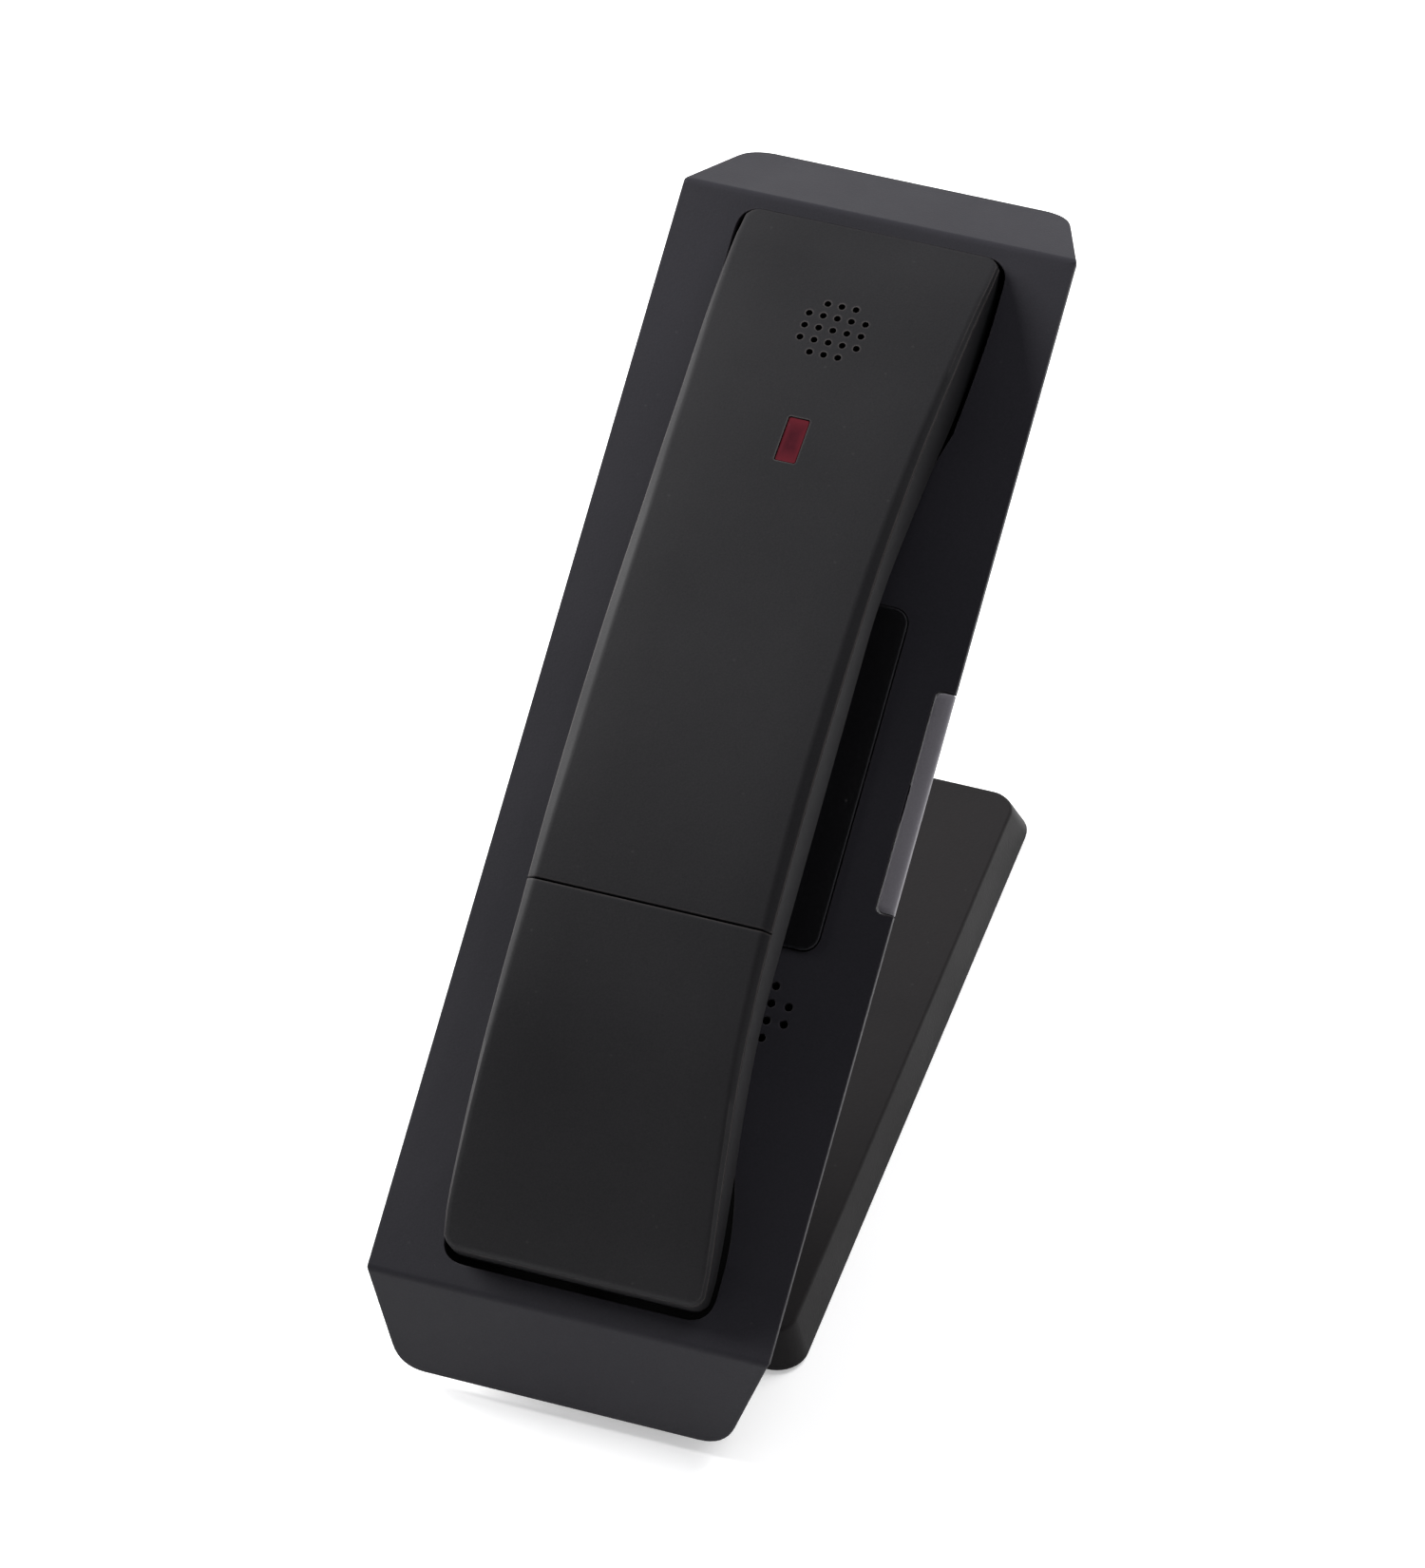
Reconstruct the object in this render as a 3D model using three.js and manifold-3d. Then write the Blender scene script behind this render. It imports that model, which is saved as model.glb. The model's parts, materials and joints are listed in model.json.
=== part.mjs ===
// A slim desk telephone: a cordless handset lying face down in a tilted charging base.
// The base is one folded plate over a shallow housing, hinged to a flat weighted foot.
// Millimetres, +Z up. The origin is the centre of the foot's sole, on the table.
// The phone faces -Y, so +Y is the longest extent and X is across it.
import * as THREE from "three";
import { mergeVertices } from "three/addons/utils/BufferGeometryUtils.js";
import Module from "manifold-3d";

const wasm = await Module();
wasm.setup();

// ---------------------------------------------------------------- driving dimensions

const GAP = 0.3;
const TILT = THREE.MathUtils.degToRad(30.26);

const PLATE = {
  halfWidth: 38,
  length: 213.4,
  thickness: 1.5,
  foldY: -94,
  foldZ: 23.7,
  flangeLength: 21,
  flangeAngle: THREE.MathUtils.degToRad(50),
  flangeTaper: 7,
  flangeCorner: 5,
  bend: 1.2,
};

const FOOT = {
  halfWidth: 38,
  halfLength: 75.65,
  corner: 6,
  height: 8,
  bevel: 3,
  wall: 2,
  rimZ: 0.4,
};

const SOLE = { inset: 3.5, corner: 3, thickness: 1.8 };

const HINGE = {
  y: -71,
  z: 13.4,
  barrelRadius: 4,
  pinRadius: 2,
  boreRadius: 2.1,
  baseHalf: 13.5,
  footInner: 14,
  footOuter: 26,
};

const HOUSING = {
  halfWidth: 33,
  wall: 2,
  top: -1.8,
  back: -16.1,
  endOverhang: 1.5,
  endShoulder: -5.2,
  endLip: 2.2,
};

// What both of the plate's openings have in common.
const POCKET = { corner: 5, straight: 9.5, ease: 8, shoulder: 1.5, shoulderAt: 6, inner: 2.5, wall: 1.5 };

// Each opening runs from its end of the plate inwards (side is the way it runs) and narrows to a waist.
const LOWER_POCKET = {
  end: 4.6,
  side: 1,
  halfWidth: 25.6,
  waistHalf: 22.5,
  waistAt: 28.2,
  innerHalf: 15.5,
  length: 41.2,
  floor: -7,
};
const UPPER_POCKET = {
  end: 210.5,
  side: -1,
  halfWidth: 26,
  waistHalf: 24.4,
  waistAt: 34.6,
  innerHalf: 19,
  length: 45.6,
  floor: -10.4,
};

const LENS = { halfWidth: 26, low: 75, high: 141.3, corner: 3, proud: 0.4, lip: 1 };

const SIDE_KEY = { inner: 34.35, low: 85, high: 128, corner: 1.5, proud: 0.35 };

const BASE_GRILLE = { x: 15.6, y: 62.7, pitch: 3.3, holeRadius: 0.75, rows: [2, 4, 6, 6, 4, 2] };

const STANDOFFS = [
  [-27.5, 50],
  [27.5, 50],
  [-27.5, 163.7],
  [27.5, 163.7],
];

const SHELL = { low: 6.3, high: 210.1, endCorner: 3.2, lid: 1.5, wall: 1.8, seam: 71 };

const BACK_GRILLE = { y: 186.9, pitch: 2.7, holeRadius: 0.65, rows: [3, 5, 5, 5, 3] };

const WINDOW = { halfWidth: 2, halfLength: 4.8, y: 162.9 };

const KEYS = {
  columns: [-12.5, 0, 12.5],
  rows: [106, 96, 86, 76],
  halfX: 4.6,
  halfY: 3.3,
  callX: 9,
  callY: 115.4,
  callHalfX: 6.8,
  callHalfY: 2.9,
  tip: 10.1,
  flangeLow: 13.1,
  flangeHigh: 14.3,
  flangeEdge: 0.8,
};

const UNDER_FLAT = 11;

// Height of the handset's back over the plate, along its length.
const BACK_LINE = new THREE.SplineCurve([
  new THREE.Vector2(6.3, 5.2),
  new THREE.Vector2(16, 11.0),
  new THREE.Vector2(32, 18.5),
  new THREE.Vector2(48, 24.0),
  new THREE.Vector2(66, 26.8),
  new THREE.Vector2(88, 28.1),
  new THREE.Vector2(112, 27.2),
  new THREE.Vector2(136, 24.4),
  new THREE.Vector2(160, 19.5),
  new THREE.Vector2(184, 12.5),
  new THREE.Vector2(200, 6.4),
  new THREE.Vector2(210.1, 0.9),
]);

// Height of the handset's underside over the plate: flat where the keys are, dipping at both ends.
const UNDER_LINE = [
  [6.3, -2.5],
  [16, -0.2],
  [24, 2.4],
  [40, 7.8],
  [56, UNDER_FLAT],
  [134, UNDER_FLAT],
  [144, 8.6],
  [160, 3.3],
  [176, -2.2],
  [192, -6.4],
  [210.1, -7.8],
];

// How much the long edges of the underside are rounded.
const ROUND_LINE = [
  [6.3, 1.8],
  [30, 2],
  [60, 4],
  [150, 4],
  [180, 2.6],
  [210.1, 2.2],
];

// Half the handset's width, waisted in the middle.
const WIDTH_LINE = [
  [6.3, 24.9],
  [16, 24.8],
  [32, 24.1],
  [48, 23.3],
  [64, 22.9],
  [144, 22.8],
  [168, 23.3],
  [184, 24.0],
  [210.1, 24.8],
];

// How far the bevel along each long edge of the back reaches inwards.
const BEVEL_LINE = [
  [6.3, 1.3],
  [48, 1.5],
  [72, 1.7],
  [96, 2.1],
  [176, 2.1],
  [210.1, 1.4],
];

const BALLAST = {
  halfWidth: 29,
  halfLength: 58,
  corner: 4,
  low: 3.5,
  high: 5.5,
  screwX: [-22, 22],
  screwLow: 2.1,
};

const LINE_SOCKET = {
  y: 60,
  halfY: 6.3,
  low: -10.3,
  high: -2.1,
  inner: -18.6,
  mouthHalf: 4.9,
  mouthLow: -9.6,
  mouthHigh: -3,
};

const POWER_SOCKET = { y: 151.5, half: 4.3, low: -10.4, high: -2.2, inner: -22, holeRadius: 1.9 };

// The side key's switch and the arm that reaches it through the housing's wall.
const KEY_SWITCH = {
  x: 28.2,
  half: 2,
  low: 103.5,
  high: 109.5,
  bottom: -13.7,
  seat: -7.6,
  top: -4.6,
  plungerTop: -3.9,
};
const KEY_ARM = { inner: 27, outer: 36, low: 103, high: 110, bottom: -3.1, top: -1.9 };

const CONTACT = { x: 8, halfWidth: 1.6 };
const STUD = { y: 12, bottom: -1.9, radius: 1.75, flangeRadius: 2.8 };

const EARPIECE = { y: 190, pitch: 3, holeRadius: 0.7, rows: [3, 3, 3] };
const MICROPHONE = { y: 17, low: 4.6, high: 7, radius: 2.6, holeRadius: 0.7 };
const DISPLAY = { halfX: 15, low: 121, high: 132, glassTop: 13.4, frameTop: 15.6, frame: 1.2 };
const SHELL_SCREW = { x: [-17, 17], y: 139, low: 10.4, bossRadius: 2.6, holeRadius: 1.4 };
const BATTERY = { y: 46, z: 15.1, halfX: 17, halfY: 20, halfZ: 2.6, angle: 0.2 };

// Plain boxes inside the two housings: X, Y and Z from and to.
const INSIDE = {
  displayModule: [-20, 20, 96, 124, -6.3, -3.3],
  baseBoard: [-24.5, 24.5, 53, 158, -12.4, -10.8],
  keypadMat: [-19, 19, 71.5, 119.5, 15.2, 16],
  receiverBoard: [-11, 11, 151, 175, 9.1, 10.3],
  handsetBoard: [-19.5, 19.5, 74, 148, 16.4, 17.6],
  antennaStrip: [28.6, 29.6, 118, 156, -9, -5],
  antennaFoot: [24, 29.6, 152, 156, -9, -8],
};

// ---------------------------------------------------------------- solids from three.js shapes

function solidOf(geometry) {
  const loose = geometry.index ? geometry.toNonIndexed() : geometry;
  const bare = new THREE.BufferGeometry();
  bare.setAttribute("position", loose.getAttribute("position"));
  const merged = mergeVertices(bare, 1e-4);
  const vertProperties = merged.attributes.position.array;
  const triVerts = new Uint32Array(merged.index.array);
  return new wasm.Manifold(new wasm.Mesh({ numProp: 3, vertProperties, triVerts }));
}

function geometryOf(solid) {
  const { vertProperties, triVerts } = solid.getMesh();
  const geometry = new THREE.BufferGeometry();
  geometry.setAttribute("position", new THREE.BufferAttribute(vertProperties, 3));
  geometry.setIndex(new THREE.BufferAttribute(triVerts, 1));
  return geometry;
}

function joined(...solids) {
  return solids.reduce((whole, next) => whole.add(next));
}

function cut(solid, ...tools) {
  return tools.reduce((rest, tool) => rest.subtract(tool), solid);
}

function block(x0, x1, y0, y1, z0, z1) {
  const box = new THREE.BoxGeometry(x1 - x0, y1 - y0, z1 - z0);
  return solidOf(box.translate((x0 + x1) / 2, (y0 + y1) / 2, (z0 + z1) / 2));
}

// A round bar along Z between two heights.
function post(x, y, z0, z1, radius, sides = 16) {
  const bar = new THREE.CylinderGeometry(radius, radius, z1 - z0, sides);
  return solidOf(bar.rotateX(Math.PI / 2).translate(x, y, (z0 + z1) / 2));
}

// A round bar along X between two ends.
function axle(x0, x1, y, z, radius, sides = 24) {
  const bar = new THREE.CylinderGeometry(radius, radius, x1 - x0, sides);
  return solidOf(bar.rotateZ(Math.PI / 2).translate((x0 + x1) / 2, y, z));
}

// A flat outline in X and Y raised between two heights.
function slab(shape, z0, z1, curveSegments = 5) {
  const options = { depth: z1 - z0, bevelEnabled: false, curveSegments };
  return solidOf(new THREE.ExtrudeGeometry(shape, options).translate(0, 0, z0));
}

// A side outline, drawn as length and height, widened along X between two ends.
function widened(shape, x0, x1, curveSegments = 5) {
  const options = { depth: x1 - x0, bevelEnabled: false, curveSegments };
  const alongX = new THREE.Vector3(1, 0, 0);
  const alongY = new THREE.Vector3(0, 1, 0);
  const alongZ = new THREE.Vector3(0, 0, 1);
  const turn = new THREE.Matrix4().makeBasis(alongY, alongZ, alongX);
  const wide = new THREE.ExtrudeGeometry(shape, options).applyMatrix4(turn);
  return solidOf(wide.translate(x0, 0, 0));
}

// A turned piece about Z: radius and height points that start and end on the axis.
function turned(x, y, z, profile, sides = 20) {
  const points = profile.map(([radius, height]) => new THREE.Vector2(radius, height));
  const lathe = new THREE.LatheGeometry(points, sides);
  return solidOf(lathe.rotateX(Math.PI / 2).translate(x, y, z));
}

function polygon(points) {
  return new THREE.Shape(points.map(([a, b]) => new THREE.Vector2(a, b)));
}

function roundedRect(x0, x1, y0, y1, radius) {
  const shape = new THREE.Shape();
  const quarter = Math.PI / 2;
  shape.absarc(x1 - radius, y0 + radius, radius, -quarter, 0);
  shape.absarc(x1 - radius, y1 - radius, radius, 0, quarter);
  shape.absarc(x0 + radius, y1 - radius, radius, quarter, 2 * quarter);
  shape.absarc(x0 + radius, y0 + radius, radius, 2 * quarter, 3 * quarter);
  return shape;
}

// A skin through rings of equally many points, closed at both ends.
function lofted(rings) {
  const count = rings[0].length;
  const positions = rings.flat().flatMap((p) => [p.x, p.y, p.z]);
  const index = [];
  for (let r = 0; r + 1 < rings.length; r++) {
    for (let i = 0; i < count; i++) {
      const a = r * count + i;
      const b = r * count + ((i + 1) % count);
      index.push(a, b, b + count, a, b + count, a + count);
    }
  }
  const last = (rings.length - 1) * count;
  for (let i = 1; i + 1 < count; i++) {
    index.push(0, i + 1, i);
    index.push(last, last + i, last + i + 1);
  }
  const geometry = new THREE.BufferGeometry();
  geometry.setAttribute("position", new THREE.Float32BufferAttribute(positions, 3));
  geometry.setIndex(index);
  return solidOf(geometry);
}

// The height of a line of points at one place, straight between the points.
function along(line, y) {
  const next = Math.max(1, line.findIndex(([at]) => at >= y));
  const [y0, v0] = line[next - 1];
  const [y1, v1] = line[next];
  return THREE.MathUtils.lerp(v0, v1, (y - y0) / (y1 - y0));
}

const BACK_POINTS = BACK_LINE.getPoints(120).map((p) => [p.x, p.y]);

function backHeight(y) {
  return along(BACK_POINTS, y);
}

function underHeight(y) {
  return along(UNDER_LINE, y);
}

// Screws with a pan head below and a shank going up.
function panScrew(x, y, z, headRadius, headHeight, shankRadius, shankLength) {
  return turned(x, y, z, [
    [0, 0],
    [headRadius * 0.8, 0],
    [headRadius, headHeight * 0.4],
    [headRadius, headHeight],
    [shankRadius, headHeight],
    [shankRadius, headHeight + shankLength],
    [0, headHeight + shankLength],
  ]);
}

// ---------------------------------------------------------------- materials

function finish(color, roughness, metalness = 0) {
  return new THREE.MeshStandardMaterial({ color, roughness, metalness });
}

const FINISH = {
  paint: finish(0x2b2b2f, 0.55, 0.2),
  plastic: finish(0x29292c, 0.6),
  dark: finish(0x161618, 0.7),
  gloss: finish(0x060607, 0.08),
  grey: finish(0x8a8890, 0.45),
  red: finish(0x7a0c14, 0.2),
  rubber: finish(0x1c1c1c, 0.9),
  steel: finish(0x9a9a9a, 0.35, 1),
  brass: finish(0xc8a24a, 0.35, 1),
  board: finish(0x1f5a33, 0.6),
  key: finish(0x34343a, 0.5),
  cell: finish(0x5b6d86, 0.5),
};

const telephone = new THREE.Group();
const tilted = new THREE.Group();
tilted.position.set(0, PLATE.foldY, PLATE.foldZ);
tilted.rotation.x = TILT;
telephone.add(tilted);

function place(group, name, solid, material) {
  const mesh = new THREE.Mesh(geometryOf(solid), material);
  mesh.name = name;
  group.add(mesh);
  return mesh;
}

// ---------------------------------------------------------------- foot

function footRing(inset, corner, z) {
  const w = FOOT.halfWidth - inset;
  const l = FOOT.halfLength - inset;
  const outline = roundedRect(-w, w, -l, l, corner);
  const points = outline.getPoints(6);
  points.pop();
  return points.map((p) => new THREE.Vector3(p.x, p.y, z));
}

function footShell() {
  const slope = FOOT.bevel / FOOT.height;
  const outside = lofted([
    footRing(0, FOOT.corner, FOOT.rimZ),
    footRing(FOOT.bevel, FOOT.corner - FOOT.bevel * 0.4, FOOT.height),
  ]);
  const ceiling = FOOT.height - FOOT.wall;
  const inside = lofted([
    footRing(FOOT.wall, FOOT.corner - FOOT.wall, -1),
    footRing(FOOT.wall + slope * ceiling, FOOT.corner - FOOT.wall * 1.6, ceiling),
  ]);
  let shell = cut(outside, inside);
  for (const side of [-1, 1]) {
    const low = Math.min(side * HINGE.footInner, side * HINGE.footOuter);
    const high = Math.max(side * HINGE.footInner, side * HINGE.footOuter);
    const barrel = axle(low, high, HINGE.y, HINGE.z, HINGE.barrelRadius);
    const web = block(low, high, HINGE.y - 1.8, HINGE.y + 4, ceiling + 0.5, HINGE.z);
    shell = joined(shell, barrel, web);
  }
  const bore = axle(-30, 30, HINGE.y, HINGE.z, HINGE.boreRadius);
  const screwHoles = BALLAST.screwX.map((x) => post(x, 0, ceiling - 1, ceiling + 1.3, 1.5));
  return cut(shell, bore, ...screwHoles);
}

function ballastPlate() {
  const { halfWidth, halfLength, corner, low, high, screwX } = BALLAST;
  const outline = roundedRect(-halfWidth, halfWidth, -halfLength, halfLength, corner);
  const holes = screwX.map((x) => post(x, 0, 0, FOOT.height, 1.5));
  return cut(slab(outline, low, high), ...holes);
}

function buildFoot() {
  const soleWidth = FOOT.halfWidth - SOLE.inset;
  const soleLength = FOOT.halfLength - SOLE.inset;
  const soleOutline = roundedRect(-soleWidth, soleWidth, -soleLength, soleLength, SOLE.corner);
  const sole = slab(soleOutline, 0, SOLE.thickness);
  place(telephone, "foot_shell", footShell(), FINISH.paint);
  place(telephone, "foot_sole", sole, FINISH.rubber);
  place(telephone, "ballast_plate", ballastPlate(), FINISH.steel);
  const names = ["ballast_screw_left", "ballast_screw_right"];
  BALLAST.screwX.forEach((x, i) => {
    place(telephone, names[i], panScrew(x, 0, BALLAST.screwLow, 2.5, 1.1, 1.15, 3.6), FINISH.steel);
  });
  const pin = axle(-HINGE.footOuter, HINGE.footOuter, HINGE.y, HINGE.z, HINGE.pinRadius);
  place(telephone, "hinge_pin", pin, FINISH.steel);
}

// ---------------------------------------------------------------- base: folded plate

// The plate's side outline: two flanges folded back from a straight face.
function foldedProfile() {
  const { length, thickness, flangeLength, flangeAngle, bend } = PLATE;
  const reach = flangeLength * Math.cos(flangeAngle);
  const drop = flangeLength * Math.sin(flangeAngle);
  const insideX = thickness * Math.sin(flangeAngle);
  const insideZ = thickness * Math.cos(flangeAngle);
  const bendX = bend * Math.cos(flangeAngle);
  const bendZ = bend * Math.sin(flangeAngle);
  const innerFold = thickness * Math.tan(flangeAngle / 2);
  const shape = new THREE.Shape();
  shape.moveTo(-reach, -drop);
  shape.lineTo(-reach + insideX, -drop - insideZ);
  shape.lineTo(innerFold, -thickness);
  shape.lineTo(length - innerFold, -thickness);
  shape.lineTo(length + reach - insideX, -drop - insideZ);
  shape.lineTo(length + reach, -drop);
  shape.lineTo(length + bendX, -bendZ);
  shape.quadraticCurveTo(length, 0, length - bend, 0);
  shape.lineTo(bend, 0);
  shape.quadraticCurveTo(0, 0, -bendX, -bendZ);
  return shape;
}

// The tapered outline of one flange, from behind its fold to its far edge.
function flangeOutline() {
  const { halfWidth, flangeLength, flangeTaper, flangeCorner } = PLATE;
  const far = halfWidth - flangeTaper;
  const run = Math.hypot(flangeTaper, flangeLength);
  const cornerX = far + (flangeTaper * flangeCorner) / run;
  const cornerY = flangeLength - (flangeLength * flangeCorner) / run;
  const shape = new THREE.Shape();
  shape.moveTo(-halfWidth, -1);
  shape.lineTo(halfWidth, -1);
  shape.lineTo(halfWidth, 0);
  shape.lineTo(cornerX, cornerY);
  shape.quadraticCurveTo(far, flangeLength, far - flangeCorner, flangeLength);
  shape.lineTo(-far + flangeCorner, flangeLength);
  shape.quadraticCurveTo(-far, flangeLength, -cornerX, cornerY);
  shape.lineTo(-halfWidth, 0);
  return shape;
}

// A thick cutter standing on the flange's plane, at the fold at y, running off towards side.
function flangeCutter(y, side) {
  const options = { depth: 8, bevelEnabled: false, curveSegments: 6 };
  const across = new THREE.Vector3(1, 0, 0);
  const down = new THREE.Vector3(0, side * Math.cos(PLATE.flangeAngle), -Math.sin(PLATE.flangeAngle));
  const out = new THREE.Vector3().crossVectors(across, down);
  const turn = new THREE.Matrix4().makeBasis(across, down, out);
  const cutter = new THREE.ExtrudeGeometry(flangeOutline(), options).translate(0, 0, -4);
  return solidOf(cutter.applyMatrix4(turn).translate(0, y, 0));
}

// The outline of a cradle's opening. It is widest at the handset's end and narrows inwards.
function pocketOutline(pocket, grow) {
  const { corner, straight, ease, shoulder, shoulderAt, inner } = POCKET;
  const { end, side, innerHalf, length, waistAt } = pocket;
  const half = pocket.halfWidth + grow;
  const waist = pocket.waistHalf + grow;
  const at = (s) => end + side * s;
  const far = at(length + grow);
  const near = at(-grow);
  const shape = new THREE.Shape();
  shape.moveTo(-innerHalf, far);
  shape.lineTo(innerHalf, far);
  shape.quadraticCurveTo(waist - inner, far, waist - shoulder, at(length - shoulderAt));
  shape.lineTo(waist, at(waistAt));
  shape.quadraticCurveTo(half, at(straight + ease), half, at(straight));
  shape.lineTo(half, at(corner));
  shape.quadraticCurveTo(half, near, half - corner, near);
  shape.lineTo(-half + corner, near);
  shape.quadraticCurveTo(-half, near, -half, at(corner));
  shape.lineTo(-half, at(straight));
  shape.quadraticCurveTo(-half, at(straight + ease), -waist, at(waistAt));
  shape.lineTo(-waist + shoulder, at(length - shoulderAt));
  shape.quadraticCurveTo(-waist + inner, far, -innerHalf, far);
  return shape;
}

// Round holes in centred rows. Rows gives how many holes each row has.
function grilleHoles({ x = 0, y, pitch, rows, holeRadius }, z0, z1) {
  return rows.flatMap((count, row) =>
    Array.from({ length: count }, (_, column) => {
      const holeX = x + (column - (count - 1) / 2) * pitch;
      const holeY = y + ((rows.length - 1) / 2 - row) * pitch;
      return post(holeX, holeY, z0, z1, holeRadius, 8);
    }),
  );
}

function faceplate() {
  const { halfWidth, length, thickness } = PLATE;
  const folded = widened(foldedProfile(), -halfWidth, halfWidth, 4);
  const face = block(-halfWidth, halfWidth, -0.6, length + 0.6, -6, 3);
  const outline = joined(face, flangeCutter(0, -1), flangeCutter(length, 1));
  let plate = folded.intersect(outline);
  for (const [x, y] of STANDOFFS) plate = plate.add(post(x, y, -12, -thickness / 2, 2.5));
  const lensRect = roundedRect(
    -LENS.halfWidth - GAP,
    LENS.halfWidth + GAP,
    LENS.low - GAP,
    LENS.high + GAP,
    LENS.corner + GAP,
  );
  const keyRect = roundedRect(SIDE_KEY.inner, halfWidth + 4, SIDE_KEY.low, SIDE_KEY.high, SIDE_KEY.corner);
  return cut(
    plate,
    slab(pocketOutline(LOWER_POCKET, 0), -4, 4),
    slab(pocketOutline(UPPER_POCKET, 0), -4, 4),
    slab(lensRect, -4, 4),
    slab(keyRect, -4, 4),
    ...grilleHoles(BASE_GRILLE, -4, 4),
    ...STANDOFFS.map(([sx, sy]) => post(sx, sy, -13, -3.5, 1.5)),
  );
}

// ---------------------------------------------------------------- base: housing and cradles

function housingProfile(inset) {
  const { top, back, endOverhang, endShoulder, endLip } = HOUSING;
  const { length } = PLATE;
  const overhang = endOverhang - inset;
  const lip = endLip + inset * 2.2;
  const rise = inset > 0 ? 1.3 : 0;
  const shoulder = endShoulder - inset * 0.45;
  return polygon([
    [lip, top + rise],
    [-overhang, shoulder],
    [-overhang, back + inset],
    [length + overhang, back + inset],
    [length + overhang, shoulder],
    [length - lip, top + rise],
  ]);
}

// The hinge's middle as seen from the tilted plate.
const HINGE_LOCAL = new THREE.Vector3(0, HINGE.y - PLATE.foldY, HINGE.z - PLATE.foldZ).applyAxisAngle(
  new THREE.Vector3(1, 0, 0),
  -TILT,
);

function rearHousing() {
  const { halfWidth, wall, back } = HOUSING;
  const outside = widened(housingProfile(0), -halfWidth, halfWidth);
  const inside = widened(housingProfile(wall), -halfWidth + wall, halfWidth - wall);
  const { y: hingeY, z: hingeZ } = HINGE_LOCAL;
  const knuckle = joined(
    axle(-HINGE.baseHalf, HINGE.baseHalf, hingeY, hingeZ, HINGE.barrelRadius),
    block(-HINGE.baseHalf, HINGE.baseHalf, hingeY - 3.4, hingeY + 3.4, hingeZ, back + 0.5),
  );
  const outer = -halfWidth - 1;
  const inner = -halfWidth + wall + 1;
  const { y: lineY, mouthHalf, mouthLow, mouthHigh } = LINE_SOCKET;
  const lineMouth = block(outer, inner, lineY - mouthHalf, lineY + mouthHalf, mouthLow, mouthHigh);
  const powerHeight = (POWER_SOCKET.low + POWER_SOCKET.high) / 2;
  const powerMouth = axle(outer, inner, POWER_SOCKET.y, powerHeight, POWER_SOCKET.holeRadius + GAP);
  const keySlot = block(-inner, -outer, KEY_ARM.low - 2, KEY_ARM.high + 2, KEY_ARM.bottom - 1.5, 0);
  return cut(
    joined(cut(outside, inside), knuckle),
    axle(-30, 30, hingeY, hingeZ, HINGE.boreRadius),
    slab(pocketOutline(LOWER_POCKET, POCKET.wall + 2 * GAP), LOWER_POCKET.floor - 2, 2),
    slab(pocketOutline(UPPER_POCKET, POCKET.wall + 2 * GAP), UPPER_POCKET.floor - 2, 2),
    lineMouth,
    powerMouth,
    keySlot,
    ...STANDOFFS.flatMap(([x, y]) => [
      post(x, y, back - 1, back + 3, 1.5),
      post(x, y, back - 1, back + 1.2, 3),
    ]),
  );
}

// A cup under one of the plate's openings that takes an end of the handset.
function cradleCup(pocket) {
  const outside = slab(pocketOutline(pocket, POCKET.wall + 0.2), pocket.floor - POCKET.wall, HOUSING.top);
  return cut(outside, slab(pocketOutline(pocket, 0.2), pocket.floor, 2));
}

// A bent strip that stands on the lower cup's floor and presses on a stud of the handset.
function chargeContact(x) {
  const foot = LOWER_POCKET.floor + GAP;
  const strip = polygon([
    [15.4, foot],
    [22, foot],
    [22, foot + 0.7],
    [16.2, foot + 0.7],
    [12.8, -2.2],
    [11.2, -2.2],
    [10, -3.6],
    [10.6, -4.1],
    [11.8, -2.9],
  ]);
  return widened(strip, x - CONTACT.halfWidth, x + CONTACT.halfWidth);
}

function baseSpeaker() {
  return turned(BASE_GRILLE.x, BASE_GRILLE.y, -8, [
    [0, 0],
    [5.5, 0],
    [5.5, 2.2],
    [9.9, 4.2],
    [9.9, 5.7],
    [8.6, 5.7],
    [3, 3.6],
    [0, 4],
  ]);
}

function panelLens() {
  const { halfWidth, low, high, corner, proud, lip } = LENS;
  const window = slab(roundedRect(-halfWidth, halfWidth, low, high, corner), -2.4, proud);
  const rim = roundedRect(-halfWidth - lip, halfWidth + lip, low - lip, high + lip, corner + lip);
  return window.add(slab(rim, -3, HOUSING.top));
}

// The side key: a flat bar let into the plate's edge, with an arm that reaches its switch.
function sideKey() {
  const { inner, low, high, corner, proud } = SIDE_KEY;
  const bar = slab(roundedRect(inner + GAP, PLATE.halfWidth, low + GAP, high - GAP, corner), -1.4, proud);
  const neck = block(inner + GAP, KEY_ARM.outer, KEY_ARM.low, KEY_ARM.high, KEY_ARM.bottom, -1.2);
  const arm = block(
    KEY_ARM.inner,
    KEY_ARM.outer,
    KEY_ARM.low,
    KEY_ARM.high,
    KEY_ARM.bottom,
    KEY_ARM.top,
  );
  return joined(bar, neck, arm);
}

function keySwitch() {
  const { x, half, low, high, bottom, seat, top, plungerTop } = KEY_SWITCH;
  const body = block(x - half, x + half, low, high, seat, top);
  const plunger = post(x, (low + high) / 2, top - 0.2, plungerTop, 1, 12);
  const holder = block(x - half, x + half, low + 1, high - 1, bottom, seat + 0.2);
  return joined(body, plunger, holder);
}

function lineSocket() {
  const { y, halfY, low, high, inner, mouthHalf, mouthLow, mouthHigh } = LINE_SOCKET;
  const outer = -HOUSING.halfWidth + HOUSING.wall + GAP;
  const body = block(outer, inner, y - halfY, y + halfY, low, high);
  return cut(body, block(outer - 1, inner - 2, y - mouthHalf, y + mouthHalf, mouthLow, mouthHigh));
}

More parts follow.
